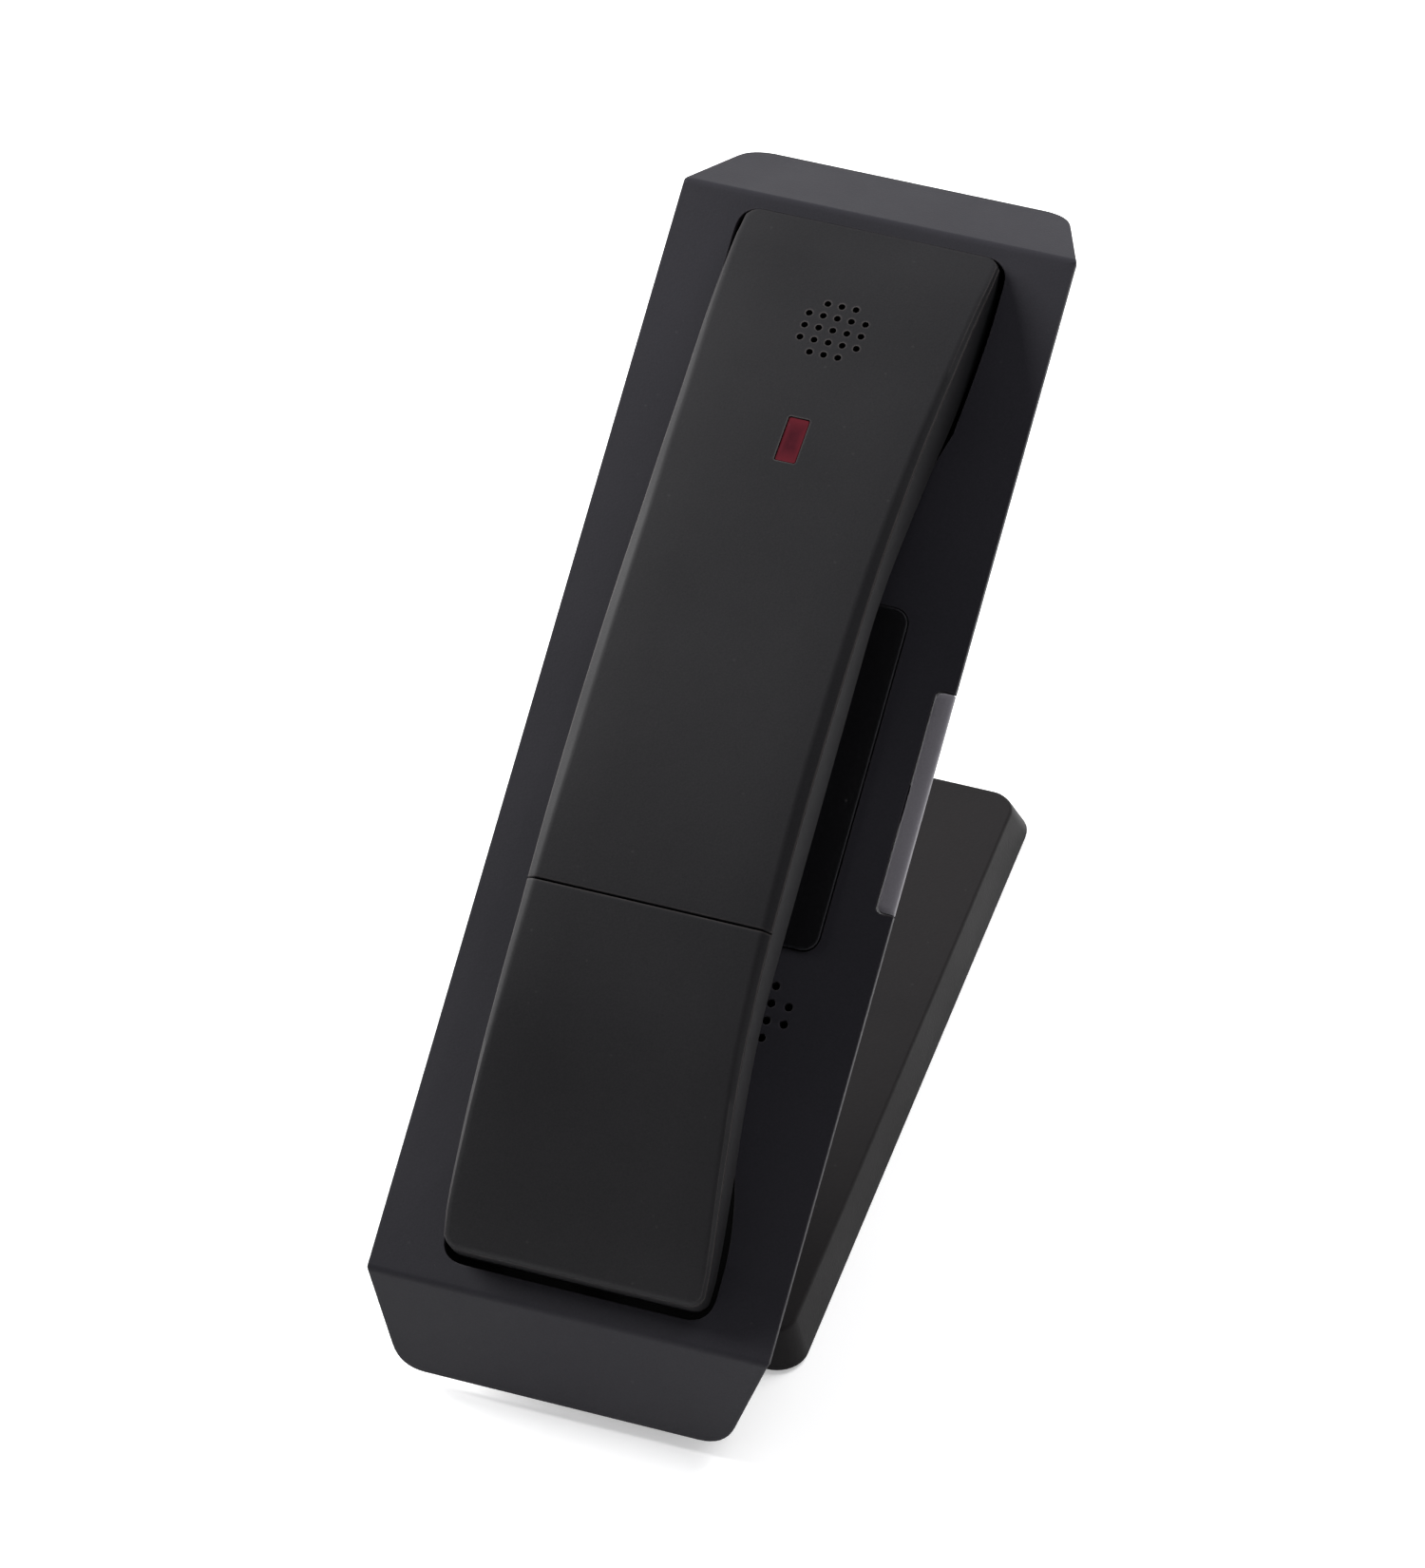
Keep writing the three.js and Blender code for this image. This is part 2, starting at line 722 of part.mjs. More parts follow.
function powerSocket() {
  const { y, half, low, high, inner, holeRadius } = POWER_SOCKET;
  const outer = -HOUSING.halfWidth + HOUSING.wall + GAP;
  const body = block(outer, inner, y - half, y + half, low, high);
  return cut(body, axle(outer - 1, inner - 1.5, y, (low + high) / 2, holeRadius));
}

function stripAntenna() {
  return joined(block(...INSIDE.antennaStrip), block(...INSIDE.antennaFoot));
}

function buildBase() {
  place(tilted, "faceplate", faceplate(), FINISH.paint);
  place(tilted, "rear_housing", rearHousing(), FINISH.plastic);
  place(tilted, "upper_cradle", cradleCup(UPPER_POCKET), FINISH.dark);
  place(tilted, "lower_cradle", cradleCup(LOWER_POCKET), FINISH.dark);
  place(tilted, "panel_lens", panelLens(), FINISH.gloss);
  place(tilted, "display_module", block(...INSIDE.displayModule), FINISH.steel);
  place(tilted, "base_board", block(...INSIDE.baseBoard), FINISH.board);
  place(tilted, "base_speaker", baseSpeaker(), FINISH.steel);
  place(tilted, "side_key", sideKey(), FINISH.grey);
  place(tilted, "key_switch", keySwitch(), FINISH.dark);
  place(tilted, "charge_contact_left", chargeContact(-CONTACT.x), FINISH.brass);
  place(tilted, "charge_contact_right", chargeContact(CONTACT.x), FINISH.brass);
  place(tilted, "line_socket", lineSocket(), FINISH.dark);
  place(tilted, "power_socket", powerSocket(), FINISH.dark);
  place(tilted, "strip_antenna", stripAntenna(), FINISH.brass);
  STANDOFFS.forEach(([x, y], i) => {
    const screw = panScrew(x, y, HOUSING.back, 2.6, 0.9, 1.15, 8);
    place(tilted, `housing_screw_${i + 1}`, screw, FINISH.steel);
  });
}

// ---------------------------------------------------------------- handset

// Half the width at a place along the handset, with its ends rounded in plan.
function halfWidthAt(y) {
  const { low, high, endCorner } = SHELL;
  const fromEnd = Math.min(y - low, high - y, endCorner);
  const rounding = endCorner - Math.sqrt(endCorner ** 2 - (endCorner - fromEnd) ** 2);
  return along(WIDTH_LINE, y) - rounding;
}

// Places along the handset from one end to the other, closer together where an end is round.
function stations(from, to) {
  const { low, high, endCorner } = SHELL;
  const rounds = [0, 0.12, 0.4, 1].map((share) => share * endCorner);
  const marks = [...rounds.map((d) => low + d), ...rounds.map((d) => high - d)];
  for (let y = 16; y < 204; y += 8) marks.push(y);
  const inside = marks.filter((y) => y > from + 0.5 && y < to - 0.5);
  return [from, ...inside.sort((a, b) => a - b), to];
}

// A cover's section: flat back, bevelled long edges, and a flat seat on the front shell.
function lidRing(y, end) {
  const half = halfWidthAt(y);
  const seat = backHeight(y) - SHELL.lid;
  const top = end ? seat + 0.5 : backHeight(y);
  const flat = half - along(BEVEL_LINE, y);
  return [
    new THREE.Vector3(-half, y, seat),
    new THREE.Vector3(-flat, y, top),
    new THREE.Vector3(flat, y, top),
    new THREE.Vector3(half, y, seat),
  ];
}

function lid(from, to) {
  return lofted(stations(from, to).map((y) => lidRing(y, y === SHELL.low || y === SHELL.high)));
}

// The front shell's section: upright walls and a rounded underside.
function shellRing(y, inset, rise) {
  const half = halfWidthAt(y) - inset;
  const top = backHeight(y) - SHELL.lid - GAP + rise;
  const under = underHeight(y) + inset;
  const round = along(ROUND_LINE, y) - inset * 0.6;
  const corner = (turn) => [round * (1 - Math.cos(turn)), round * (1 - Math.sin(turn))];
  const right = [0, 0.8, Math.PI / 2].map(corner).map(([dx, dz]) => [half - dx, under + dz]);
  const section = [[half, top], ...right, ...right.toReversed().map(([x, z]) => [-x, z]), [-half, top]];
  return section.map(([x, z]) => new THREE.Vector3(x, y, z));
}

function frontShell() {
  const { low, high, wall } = SHELL;
  const outside = lofted(stations(low, high).map((y) => shellRing(y, 0, 0)));
  const inner = stations(low + wall, high - wall).map((y) => shellRing(y, wall, 4));
  const floor = [UNDER_FLAT - 3, UNDER_FLAT + 3];
  const keyWindows = KEYS.rows.flatMap((y) =>
    KEYS.columns.map((x) => keyBlock(x, y, KEYS.halfX + GAP, KEYS.halfY + GAP, ...floor)),
  );
  const callWindows = [-1, 1].map((side) =>
    keyBlock(side * KEYS.callX, KEYS.callY, KEYS.callHalfX + GAP, KEYS.callHalfY + GAP, ...floor),
  );
  const { halfX, low: displayLow, high: displayHigh } = DISPLAY;
  const { y: screwY, low: screwLow, bossRadius, holeRadius } = SHELL_SCREW;
  return cut(
    outside,
    lofted(inner),
    ...keyWindows,
    ...callWindows,
    block(-halfX - GAP, halfX + GAP, displayLow - GAP, displayHigh + GAP, ...floor),
    ...[-1, 1].map((side) => post(side * CONTACT.x, STUD.y, -6, 5, STUD.radius + GAP)),
    ...grilleHoles(EARPIECE, -12, 0),
    post(0, MICROPHONE.y, -4, 5, MICROPHONE.holeRadius, 8),
    ...SHELL_SCREW.x.flatMap((x) => [
      post(x, screwY, 5, 15, holeRadius),
      post(x, screwY, 5, screwLow + 1.6, bossRadius),
    ]),
  );
}

function keyBlock(x, y, halfX, halfY, z0, z1) {
  return block(x - halfX, x + halfX, y - halfY, y + halfY, z0, z1);
}

// A slope along the handset's back at one place, as an angle about X.
function backSlope(y) {
  return Math.atan2(backHeight(y + 3) - backHeight(y - 3), 6);
}

function backCover() {
  const whole = lid(SHELL.seam + GAP / 2, SHELL.high);
  const { y: screwY, bossRadius, holeRadius } = SHELL_SCREW;
  const bosses = SHELL_SCREW.x.map((x) =>
    cut(
      post(x, screwY, 14.5, backHeight(screwY) - SHELL.lid / 2, bossRadius),
      post(x, screwY, 14, 20, holeRadius),
    ),
  );
  const windowHole = keyBlock(0, WINDOW.y, WINDOW.halfWidth + GAP, WINDOW.halfLength + GAP, 0, 30);
  return cut(joined(whole, ...bosses), ...grilleHoles(BACK_GRILLE, 0, 30), windowHole);
}

// A piece drawn about its own middle, leaning with the handset's back at one place.
function leaning(y, z, angle) {
  const group = new THREE.Group();
  group.position.set(0, y, z);
  group.rotation.x = angle;
  tilted.add(group);
  return group;
}

function pushKey(x, y, halfX, halfY) {
  const { tip, flangeLow, flangeHigh, flangeEdge } = KEYS;
  const cap = slab(roundedRect(x - halfX, x + halfX, y - halfY, y + halfY, 1.6), tip, flangeLow + 0.4, 3);
  const flange = keyBlock(x, y, halfX + flangeEdge, halfY + flangeEdge, flangeLow, flangeHigh);
  return cap.add(flange);
}

function buildKeypad() {
  KEYS.rows.forEach((y, row) => {
    KEYS.columns.forEach((x, column) => {
      const name = `number_key_${row * 3 + column + 1}`;
      place(tilted, name, pushKey(x, y, KEYS.halfX, KEYS.halfY), FINISH.key);
    });
  });
  const names = ["call_key_left", "call_key_right"];
  [-1, 1].forEach((side, i) => {
    const key = pushKey(side * KEYS.callX, KEYS.callY, KEYS.callHalfX, KEYS.callHalfY);
    place(tilted, names[i], key, FINISH.key);
  });
  place(tilted, "keypad_mat", block(...INSIDE.keypadMat), FINISH.rubber);
}

function handsetDisplay() {
  const { halfX, low, high, glassTop, frameTop, frame } = DISPLAY;
  const glass = block(-halfX, halfX, low, high, UNDER_FLAT + 0.2, glassTop);
  const rim = block(-halfX - frame, halfX + frame, low - 0.6, high + 0.6, glassTop - GAP, frameTop);
  return glass.add(rim);
}

function earpiece() {
  return turned(0, EARPIECE.y, -1, [
    [0, 0],
    [9, 0],
    [9, 2.4],
    [6, 2.4],
    [6, 3.8],
    [0, 3.8],
  ]);
}

function buildSound() {
  place(tilted, "earpiece", earpiece(), FINISH.steel);
  const { y, low, high, radius } = MICROPHONE;
  place(tilted, "microphone", post(0, y, low, high, radius, 16), FINISH.steel);
  const ringerY = BACK_GRILLE.y;
  const lean = leaning(ringerY, backHeight(ringerY) - SHELL.lid, backSlope(ringerY));
  const ringer = turned(0, 0, -4.4, [
    [0, 0],
    [5, 0],
    [5, 1.6],
    [8, 2.4],
    [8, 3.8],
    [0, 3.8],
  ]);
  place(lean, "ringer", ringer, FINISH.steel);
}

function buildIndicator() {
  const { halfWidth, halfLength, y } = WINDOW;
  const lean = leaning(y, backHeight(y), backSlope(y));
  const glass = block(-halfWidth, halfWidth, -halfLength, halfLength, -2.2, -0.1);
  const flange = block(-halfWidth - 1, halfWidth + 1, -halfLength - 1, halfLength + 1, -3.2, -2);
  place(lean, "indicator_window", glass.add(flange), FINISH.red);
  const lamp = turned(0, y, 10.6, [
    [0, 0],
    [1.9, 0],
    [1.9, 0.8],
    [1.5, 0.8],
    [1.5, 2.4],
    [0.8, 3.1],
    [0, 3.4],
  ]);
  place(tilted, "indicator_lamp", lamp, FINISH.red);
  place(tilted, "receiver_board", block(...INSIDE.receiverBoard), FINISH.board);
}

function chargeStud(x) {
  const { y, bottom, radius, flangeRadius } = STUD;
  return turned(x, y, bottom, [
    [0, 0],
    [radius, 0],
    [radius, 5.3],
    [flangeRadius, 5.3],
    [flangeRadius, 6.2],
    [0, 6.2],
  ]);
}

function buildPower() {
  const { y, z, halfX, halfY, halfZ, angle } = BATTERY;
  const lean = leaning(y, z, angle);
  place(lean, "battery_pack", block(-halfX, halfX, -halfY, halfY, -halfZ, halfZ), FINISH.cell);
  const contact = (x) => joined(block(x, x + 4, 20.4, 21, -2.4, 2.6), block(x, x + 4, 20.4, 23.6, 2, 2.6));
  place(lean, "battery_contact_left", contact(-12), FINISH.brass);
  place(lean, "battery_contact_right", contact(8), FINISH.brass);
  place(tilted, "charge_stud_left", chargeStud(-CONTACT.x), FINISH.brass);
  place(tilted, "charge_stud_right", chargeStud(CONTACT.x), FINISH.brass);
}

function buildHandset() {
  place(tilted, "handset_front_shell", frontShell(), FINISH.plastic);
  place(tilted, "handset_back_cover", backCover(), FINISH.plastic);
  place(tilted, "battery_cover", lid(SHELL.low, SHELL.seam - GAP / 2), FINISH.plastic);
  const bossHoles = SHELL_SCREW.x.map((x) => post(x, SHELL_SCREW.y, 15, 19, SHELL_SCREW.bossRadius + 0.4));
  place(tilted, "handset_board", cut(block(...INSIDE.handsetBoard), ...bossHoles), FINISH.board);
  place(tilted, "handset_display", handsetDisplay(), FINISH.gloss);
  SHELL_SCREW.x.forEach((x, i) => {
    const screw = panScrew(x, SHELL_SCREW.y, SHELL_SCREW.low, 2.2, 1.2, 1.1, 6.4);
    place(tilted, `handset_screw_${i + 1}`, screw, FINISH.steel);
  });
  buildKeypad();
  buildSound();
  buildIndicator();
  buildPower();
}

buildFoot();
buildBase();
buildHandset();

export default telephone;
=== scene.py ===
"""A slim cordless telephone in its tilted charging base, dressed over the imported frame."""

import json
import math

import bmesh
import bpy
import numpy as np
from mathutils import Matrix, Vector


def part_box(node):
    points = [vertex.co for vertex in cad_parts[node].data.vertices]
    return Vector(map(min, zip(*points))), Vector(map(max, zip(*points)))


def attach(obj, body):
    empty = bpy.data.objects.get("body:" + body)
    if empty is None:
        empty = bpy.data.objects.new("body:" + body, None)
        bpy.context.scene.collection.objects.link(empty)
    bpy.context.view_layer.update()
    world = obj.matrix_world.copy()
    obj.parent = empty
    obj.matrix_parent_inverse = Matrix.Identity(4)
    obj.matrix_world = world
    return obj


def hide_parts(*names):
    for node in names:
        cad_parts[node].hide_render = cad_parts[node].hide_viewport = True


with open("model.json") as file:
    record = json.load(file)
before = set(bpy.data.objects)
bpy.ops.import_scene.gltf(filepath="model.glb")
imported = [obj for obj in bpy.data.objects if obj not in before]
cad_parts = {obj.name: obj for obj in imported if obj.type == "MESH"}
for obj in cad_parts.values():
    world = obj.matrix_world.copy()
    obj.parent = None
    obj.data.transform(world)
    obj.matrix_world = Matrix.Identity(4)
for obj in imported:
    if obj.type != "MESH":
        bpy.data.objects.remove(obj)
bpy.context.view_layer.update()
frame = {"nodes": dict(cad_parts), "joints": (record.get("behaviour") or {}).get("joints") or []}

# ---------------------------------------------------------------- where things are

LIFT = Vector(next(j["axis"] for j in frame["joints"] if j["name"] == "handset_lift"))
TILT = math.atan2(-LIFT.y, LIFT.z)
MILLIMETRES = Matrix.Scale(0.001, 4)
LOWER_FOLD = Vector((0, -0.094, 0.0237))
ON_PLATE = Matrix.Translation(LOWER_FOLD) @ Matrix.Rotation(TILT, 4, "X") @ MILLIMETRES
ON_TABLE = MILLIMETRES
HINGE_AT = (0, -71, 13.4)

# ---------------------------------------------------------------- sizes, in millimetres

PLATE_HALF = 38
PLATE_LENGTH = 213.4
SHEET = 1.5
FLANGE = 21
FLANGE_ANGLE = math.radians(50)
FLANGE_TAPER = 7
FLANGE_CORNER = 5
BEND_RADIUS = 2.0
SHEET_EDGE = 0.22
NOTCH = dict(inner=34.35, low=85, high=128, corner=1.5)

PANEL = dict(half=25.95, low=75.05, high=141.25, corner=3)
PANEL_GAP = 0.15
PANEL_THICK = 2.6
PANEL_PROUD = 0.4

SPEAKER_GRILLE = dict(middle=(15.6, 62.7), pitch=3.3, radius=0.78, rows=(2, 4, 6, 6, 4, 2))
RINGER_GRILLE = dict(middle=(0, 186.9), pitch=2.7, radius=0.66, rows=(3, 5, 5, 5, 3))

HANDSET_LOW = 6.3
HANDSET_HIGH = 210.4
END_CORNER = 3.2
LID = 1.5
WALL = 1.8
COVER_SEAM = 71
SEAM_GAP = 0.15
WINDOW_AT = 162.9
WINDOW_HALF = (2, 4.8)
STUDS = (8, 12)
SHELL_SCREWS = (17, 139)
EARPIECE_AT = 190
MICROPHONE_AT = 17

BACK_POINTS = [
    (6.3, 5.2), (16, 11.0), (32, 18.5), (48, 24.0), (66, 26.8), (88, 28.1),
    (112, 27.2), (136, 24.4), (160, 19.5), (184, 12.5), (200, 6.4), (210.4, 0.8),
]
UNDER_POINTS = [
    (6.3, -2.5), (16, -0.2), (24, 2.4), (40, 7.8), (56, 11), (134, 11),
    (144, 8.6), (160, 3.3), (176, -2.2), (192, -6.4), (210.4, -7.8),
]
ROUND_POINTS = [(6.3, 1.8), (30, 2), (60, 4), (150, 4), (180, 2.6), (210.4, 2.2)]
WIDTH_POINTS = [
    (6.3, 24.9), (16, 24.8), (32, 24.1), (48, 23.3), (64, 22.9), (144, 22.8),
    (168, 23.3), (184, 24.0), (210.4, 24.8),
]
BEVEL_POINTS = [
    (6.3, 0.8), (24, 1.1), (64, 1.4), (96, 2.0), (130, 1.9), (160, 1.5), (184, 1.2), (200, 0.9), (210.4, 0.6),
]

LOWER_OPENING = dict(end=4.6, side=1, half=25.6, corner=5, waist=22.5, waist_at=28.2, inner=15.5,
                     length=41.2)
UPPER_OPENING = dict(end=210.5, side=-1, half=26, corner=4.8, waist=24.4, waist_at=34.6, inner=19,
                     length=45.6)

KEY_COLUMNS = (-12.5, 0, 12.5)
KEY_ROWS = (106, 96, 86, 76)
NUMBER_KEY_HALF = (4.6, 3.3)
CALL_KEY_HALF = (6.8, 2.9)
CALL_KEYS = (9, 115.4)
KEY_FACES = "123456789*0#"

FOOT_HALF = (38, 75.65)
FOOT_CORNER = 6
KNUCKLE_RADIUS = 4
KNUCKLE = (14, 26)


def flowing(points, steps=240):
    """A smooth line through points, as a function of the first number of each."""
    spread = np.array([points[0], *points, points[-1]], float)
    spread[0] = 2 * spread[1] - spread[2]
    spread[-1] = 2 * spread[-2] - spread[-3]
    along = []
    for i in range(1, len(spread) - 2):
        a, b, c, d = spread[i - 1:i + 3]
        for t in np.linspace(0, 1, steps // len(points), endpoint=False):
            along.append(0.5 * (2 * b + (c - a) * t + (2 * a - 5 * b + 4 * c - d) * t * t
                                + (3 * b - a - 3 * c + d) * t ** 3))
    along.append(spread[-2])
    table = np.array(along)
    return lambda v: float(np.interp(v, table[:, 0], table[:, 1]))


def eased(points):
    """A line that never swings past its points, rounded a little at each of them."""
    places = np.array(points, float)

    def height(v):
        near = [np.interp(v + d, places[:, 0], places[:, 1]) for d in (-3, -1.5, 0, 1.5, 3)]
        return float(sum(near) / 5)

    return height


back_height = flowing(BACK_POINTS)
under_height = eased(UNDER_POINTS)
side_width = eased(WIDTH_POINTS)
bevel_width = eased(BEVEL_POINTS)
under_round = eased(ROUND_POINTS)


def half_width(v):
    """Half the handset's width at v, with both ends rounded in plan."""
    from_end = min(v - HANDSET_LOW, HANDSET_HIGH - v, END_CORNER)
    return side_width(v) - END_CORNER + math.sqrt(max(0, END_CORNER ** 2 - (END_CORNER - from_end) ** 2))


def stations(low, high, low_round, high_round):
    """Places along the handset: close together where an edge is rounded, even between."""
    marks = {low, high}
    for share in (0.12, 0.3, 0.6, 1):
        marks |= {low + low_round * share, high - high_round * share}
    for share in (0.03, 0.12, 0.3, 0.6):
        marks |= {HANDSET_LOW + END_CORNER * share, HANDSET_HIGH - END_CORNER * share}
    marks |= set(np.arange(12, 206, 2.0))
    inside = sorted(m for m in marks if low <= m <= high)
    return [m for i, m in enumerate(inside) if i == 0 or m - inside[i - 1] > 0.05]


# ---------------------------------------------------------------- building meshes

def skin(rings, place):
    """A closed surface through rings of equally many points."""
    bm = bmesh.new()
    loops = [[bm.verts.new(place @ Vector(p)) for p in ring] for ring in rings]
    for near, far in zip(loops, loops[1:]):
        for i in range(len(near)):
            j = (i + 1) % len(near)
            bm.faces.new((near[i], near[j], far[j], far[i]))
    bm.faces.new(loops[0][::-1])
    bm.faces.new(loops[-1])
    bmesh.ops.recalc_face_normals(bm, faces=bm.faces)
    return bm


def lathe(profile, place, sides=32):
    """A turned piece: radius and height points about Z that start and end on the axis."""
    bm = bmesh.new()
    loops = []
    for radius, height in profile:
        if radius < 1e-6:
            loops.append([bm.verts.new(place @ Vector((0, 0, height)))])
            continue
        turns = [2 * math.pi * k / sides for k in range(sides)]
        ring = [Vector((radius * math.cos(a), radius * math.sin(a), height)) for a in turns]
        loops.append([bm.verts.new(place @ p) for p in ring])
    for near, far in zip(loops, loops[1:]):
        for k in range(sides):
            m = (k + 1) % sides
            corners = [near[k % len(near)], near[m % len(near)], far[m % len(far)], far[k % len(far)]]
            bm.faces.new(list(dict.fromkeys(corners)))
    bmesh.ops.recalc_face_normals(bm, faces=bm.faces)
    return bm


def rounded_rect(x0, x1, y0, y1, radius, steps=6):
    """Corner points of a rectangle with round corners, anticlockwise."""
    points = []
    corners = ((x1 - radius, y0 + radius, -90), (x1 - radius, y1 - radius, 0),
               (x0 + radius, y1 - radius, 90), (x0 + radius, y0 + radius, 180))
    for cx, cy, start in corners:
        for k in range(steps + 1):
            a = math.radians(start + 90 * k / steps)
            points.append((cx + radius * math.cos(a), cy + radius * math.sin(a)))
    return points


def circle(x, y, radius, sides):
    """Points of a circle, anticlockwise."""
    turns = [2 * math.pi * k / sides for k in range(sides)]
    return [(x + radius * math.cos(a), y + radius * math.sin(a)) for a in turns]


def bow(start, pull, end, steps=6):
    """Points of a curve from start to end, drawn towards pull, without its last point."""
    a, b, c = Vector(start), Vector(pull), Vector(end)
    shares = [k / steps for k in range(steps)]
    return [tuple(a * (1 - t) ** 2 + b * 2 * t * (1 - t) + c * t * t) for t in shares]


def prism(outline, low, high, place):
    """A flat outline raised between two heights."""
    return skin([[(x, y, z) for x, y in outline] for z in (low, high)], place)


def punched_sheet(outline, holes, thickness, edge):
    """A flat sheet with holes, lying under z = 0, with all its edges softened."""
    curve = bpy.data.curves.new("blank", "CURVE")
    curve.dimensions = "2D"
    curve.fill_mode = "BOTH"
    curve.extrude = thickness / 2 - edge
    curve.bevel_depth = edge
    curve.bevel_resolution = 1
    curve.offset = -edge
    for loop in [outline, *holes]:
        spline = curve.splines.new("POLY")
        spline.points.add(len(loop) - 1)
        for point, (x, y) in zip(spline.points, loop):
            point.co = (x, y, 0, 1)
        spline.use_cyclic_u = True
    blank = bpy.data.objects.new("blank", curve)
    bpy.context.scene.collection.objects.link(blank)
    graph = bpy.context.evaluated_depsgraph_get()
    mesh = bpy.data.meshes.new_from_object(blank.evaluated_get(graph))
    bm = bmesh.new()
    bm.from_mesh(mesh)
    bmesh.ops.remove_doubles(bm, verts=bm.verts, dist=1e-4)
    bmesh.ops.translate(bm, verts=bm.verts, vec=(0, 0, -thickness / 2))
    bpy.data.objects.remove(blank)
    bpy.data.curves.remove(curve)
    bpy.data.meshes.remove(mesh)
    return bm


def merged(*parts):
    """Several meshes as one."""
    whole = bmesh.new()
    for part in parts:
        mesh = bpy.data.meshes.new("part")
        part.to_mesh(mesh)
        part.free()
        whole.from_mesh(mesh)
        bpy.data.meshes.remove(mesh)
    return whole


def loose(bm, name="tool"):
    """A mesh as an object of its own, for cutting."""
    mesh = bpy.data.meshes.new(name)
    bm.to_mesh(mesh)
    bm.free()
    obj = bpy.data.objects.new(name, mesh)
    bpy.context.scene.collection.objects.link(obj)
    return obj


def carved(body, *tools):
    """A mesh with others cut out of it, one after another."""
    obj = loose(body, "carving")
    for tool in tools:
        cutter = loose(tool)
        cut = obj.modifiers.new("cut", "BOOLEAN")
        cut.operation = "DIFFERENCE"
        cut.solver = "EXACT"
        cut.object = cutter
        graph = bpy.context.evaluated_depsgraph_get()
        mesh = bpy.data.meshes.new_from_object(obj.evaluated_get(graph))
        obj.modifiers.clear()
        obj.data = mesh
        bpy.data.objects.remove(cutter)
    bm = bmesh.new()
    bm.from_mesh(obj.data)
    bpy.data.objects.remove(obj)
    return bm


def piece(name, bm, body, material, stands_for=(), crease=32):
    """A finished piece of the telephone, smooth but for its creases."""
    mesh = bpy.data.meshes.new(name)
    bm.to_mesh(mesh)
    bm.free()
    mesh.materials.clear()
    mesh.materials.append(material)
    mesh.polygons.foreach_set("material_index", [0] * len(mesh.polygons))
    mesh.polygons.foreach_set("use_smooth", [True] * len(mesh.polygons))
    mesh.set_sharp_from_angle(angle=math.radians(crease))
    obj = bpy.data.objects.new(name, mesh)
    bpy.context.scene.collection.objects.link(obj)
    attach(obj, body)
    if stands_for:
        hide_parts(*stands_for)
    return obj


def even_light(obj):
    """Large faces keep their own direction beside small rounded edges."""
    weigh = obj.modifiers.new("even light", "WEIGHTED_NORMAL")
    weigh.keep_sharp = True
    weigh.weight = 80
    return obj


def soften_edges(obj, width):
    """Rounds the edges of a made piece."""
    edge = obj.modifiers.new("edges", "BEVEL")
    edge.width = width
    edge.segments = 2
    edge.limit_method = "ANGLE"
    edge.angle_limit = math.radians(38)
    return even_light(obj)


# ---------------------------------------------------------------- shared effects

def effect(name, inputs, outputs):
    """An empty node group with named sockets. Inputs come with their usual values."""
    tree = bpy.data.node_groups.new(name, "ShaderNodeTree")
    for label, kind, value in inputs:
        socket = tree.interface.new_socket(label, in_out="INPUT", socket_type=kind)
        socket.default_value = value
    for label, kind in outputs:
        tree.interface.new_socket(label, in_out="OUTPUT", socket_type=kind)
    return tree, tree.nodes.new("NodeGroupInput"), tree.nodes.new("NodeGroupOutput")


def node(tree, kind, **settings):
    """A new node. Each setting is the name of an input or of a property."""
    made = tree.nodes.new(kind)
    for key, value in settings.items():
        if key in made.inputs:
            made.inputs[key].default_value = value
        else:
            setattr(made, key, value)
    return made


def maths(tree, operation, first, second):
    """A Math node. Each side is a socket or a number."""
    made = tree.nodes.new("ShaderNodeMath")
    made.operation = operation
    for slot, value in zip(made.inputs, (first, second)):
        if isinstance(value, (int, float)):
            slot.default_value = value
        else:
            tree.links.new(value, slot)
    return made.outputs[0]


def blend_colours(tree, share, first, second):
    """A colour between two others. Each of the three is a socket or a plain value."""
    made = tree.nodes.new("ShaderNodeMix")
    made.data_type = "RGBA"
    for slot, value in ((made.inputs["Factor"], share), (made.inputs[6], first), (made.inputs[7], second)):
        if isinstance(value, (int, float, tuple)):
            slot.default_value = value
        else:
            tree.links.new(value, slot)
    return made.outputs[2]


def noise_at(tree, scale, detail=3.0, stretch=None):
    """A noise pattern fixed to the piece. Scale is a socket or a number, in turns per metre."""
    where = tree.nodes.new("ShaderNodeTexCoord").outputs["Object"]
    if stretch is not None:
        squeeze = node(tree, "ShaderNodeMapping")
        squeeze.inputs["Scale"].default_value = stretch
        tree.links.new(where, squeeze.inputs["Vector"])
        where = squeeze.outputs["Vector"]
    made = node(tree, "ShaderNodeTexNoise")
    made.inputs["Detail"].default_value = detail
    tree.links.new(where, made.inputs["Vector"])
    if isinstance(scale, (int, float)):
        made.inputs["Scale"].default_value = scale
    else:
        tree.links.new(scale, made.inputs["Scale"])
    return made.outputs["Fac"]


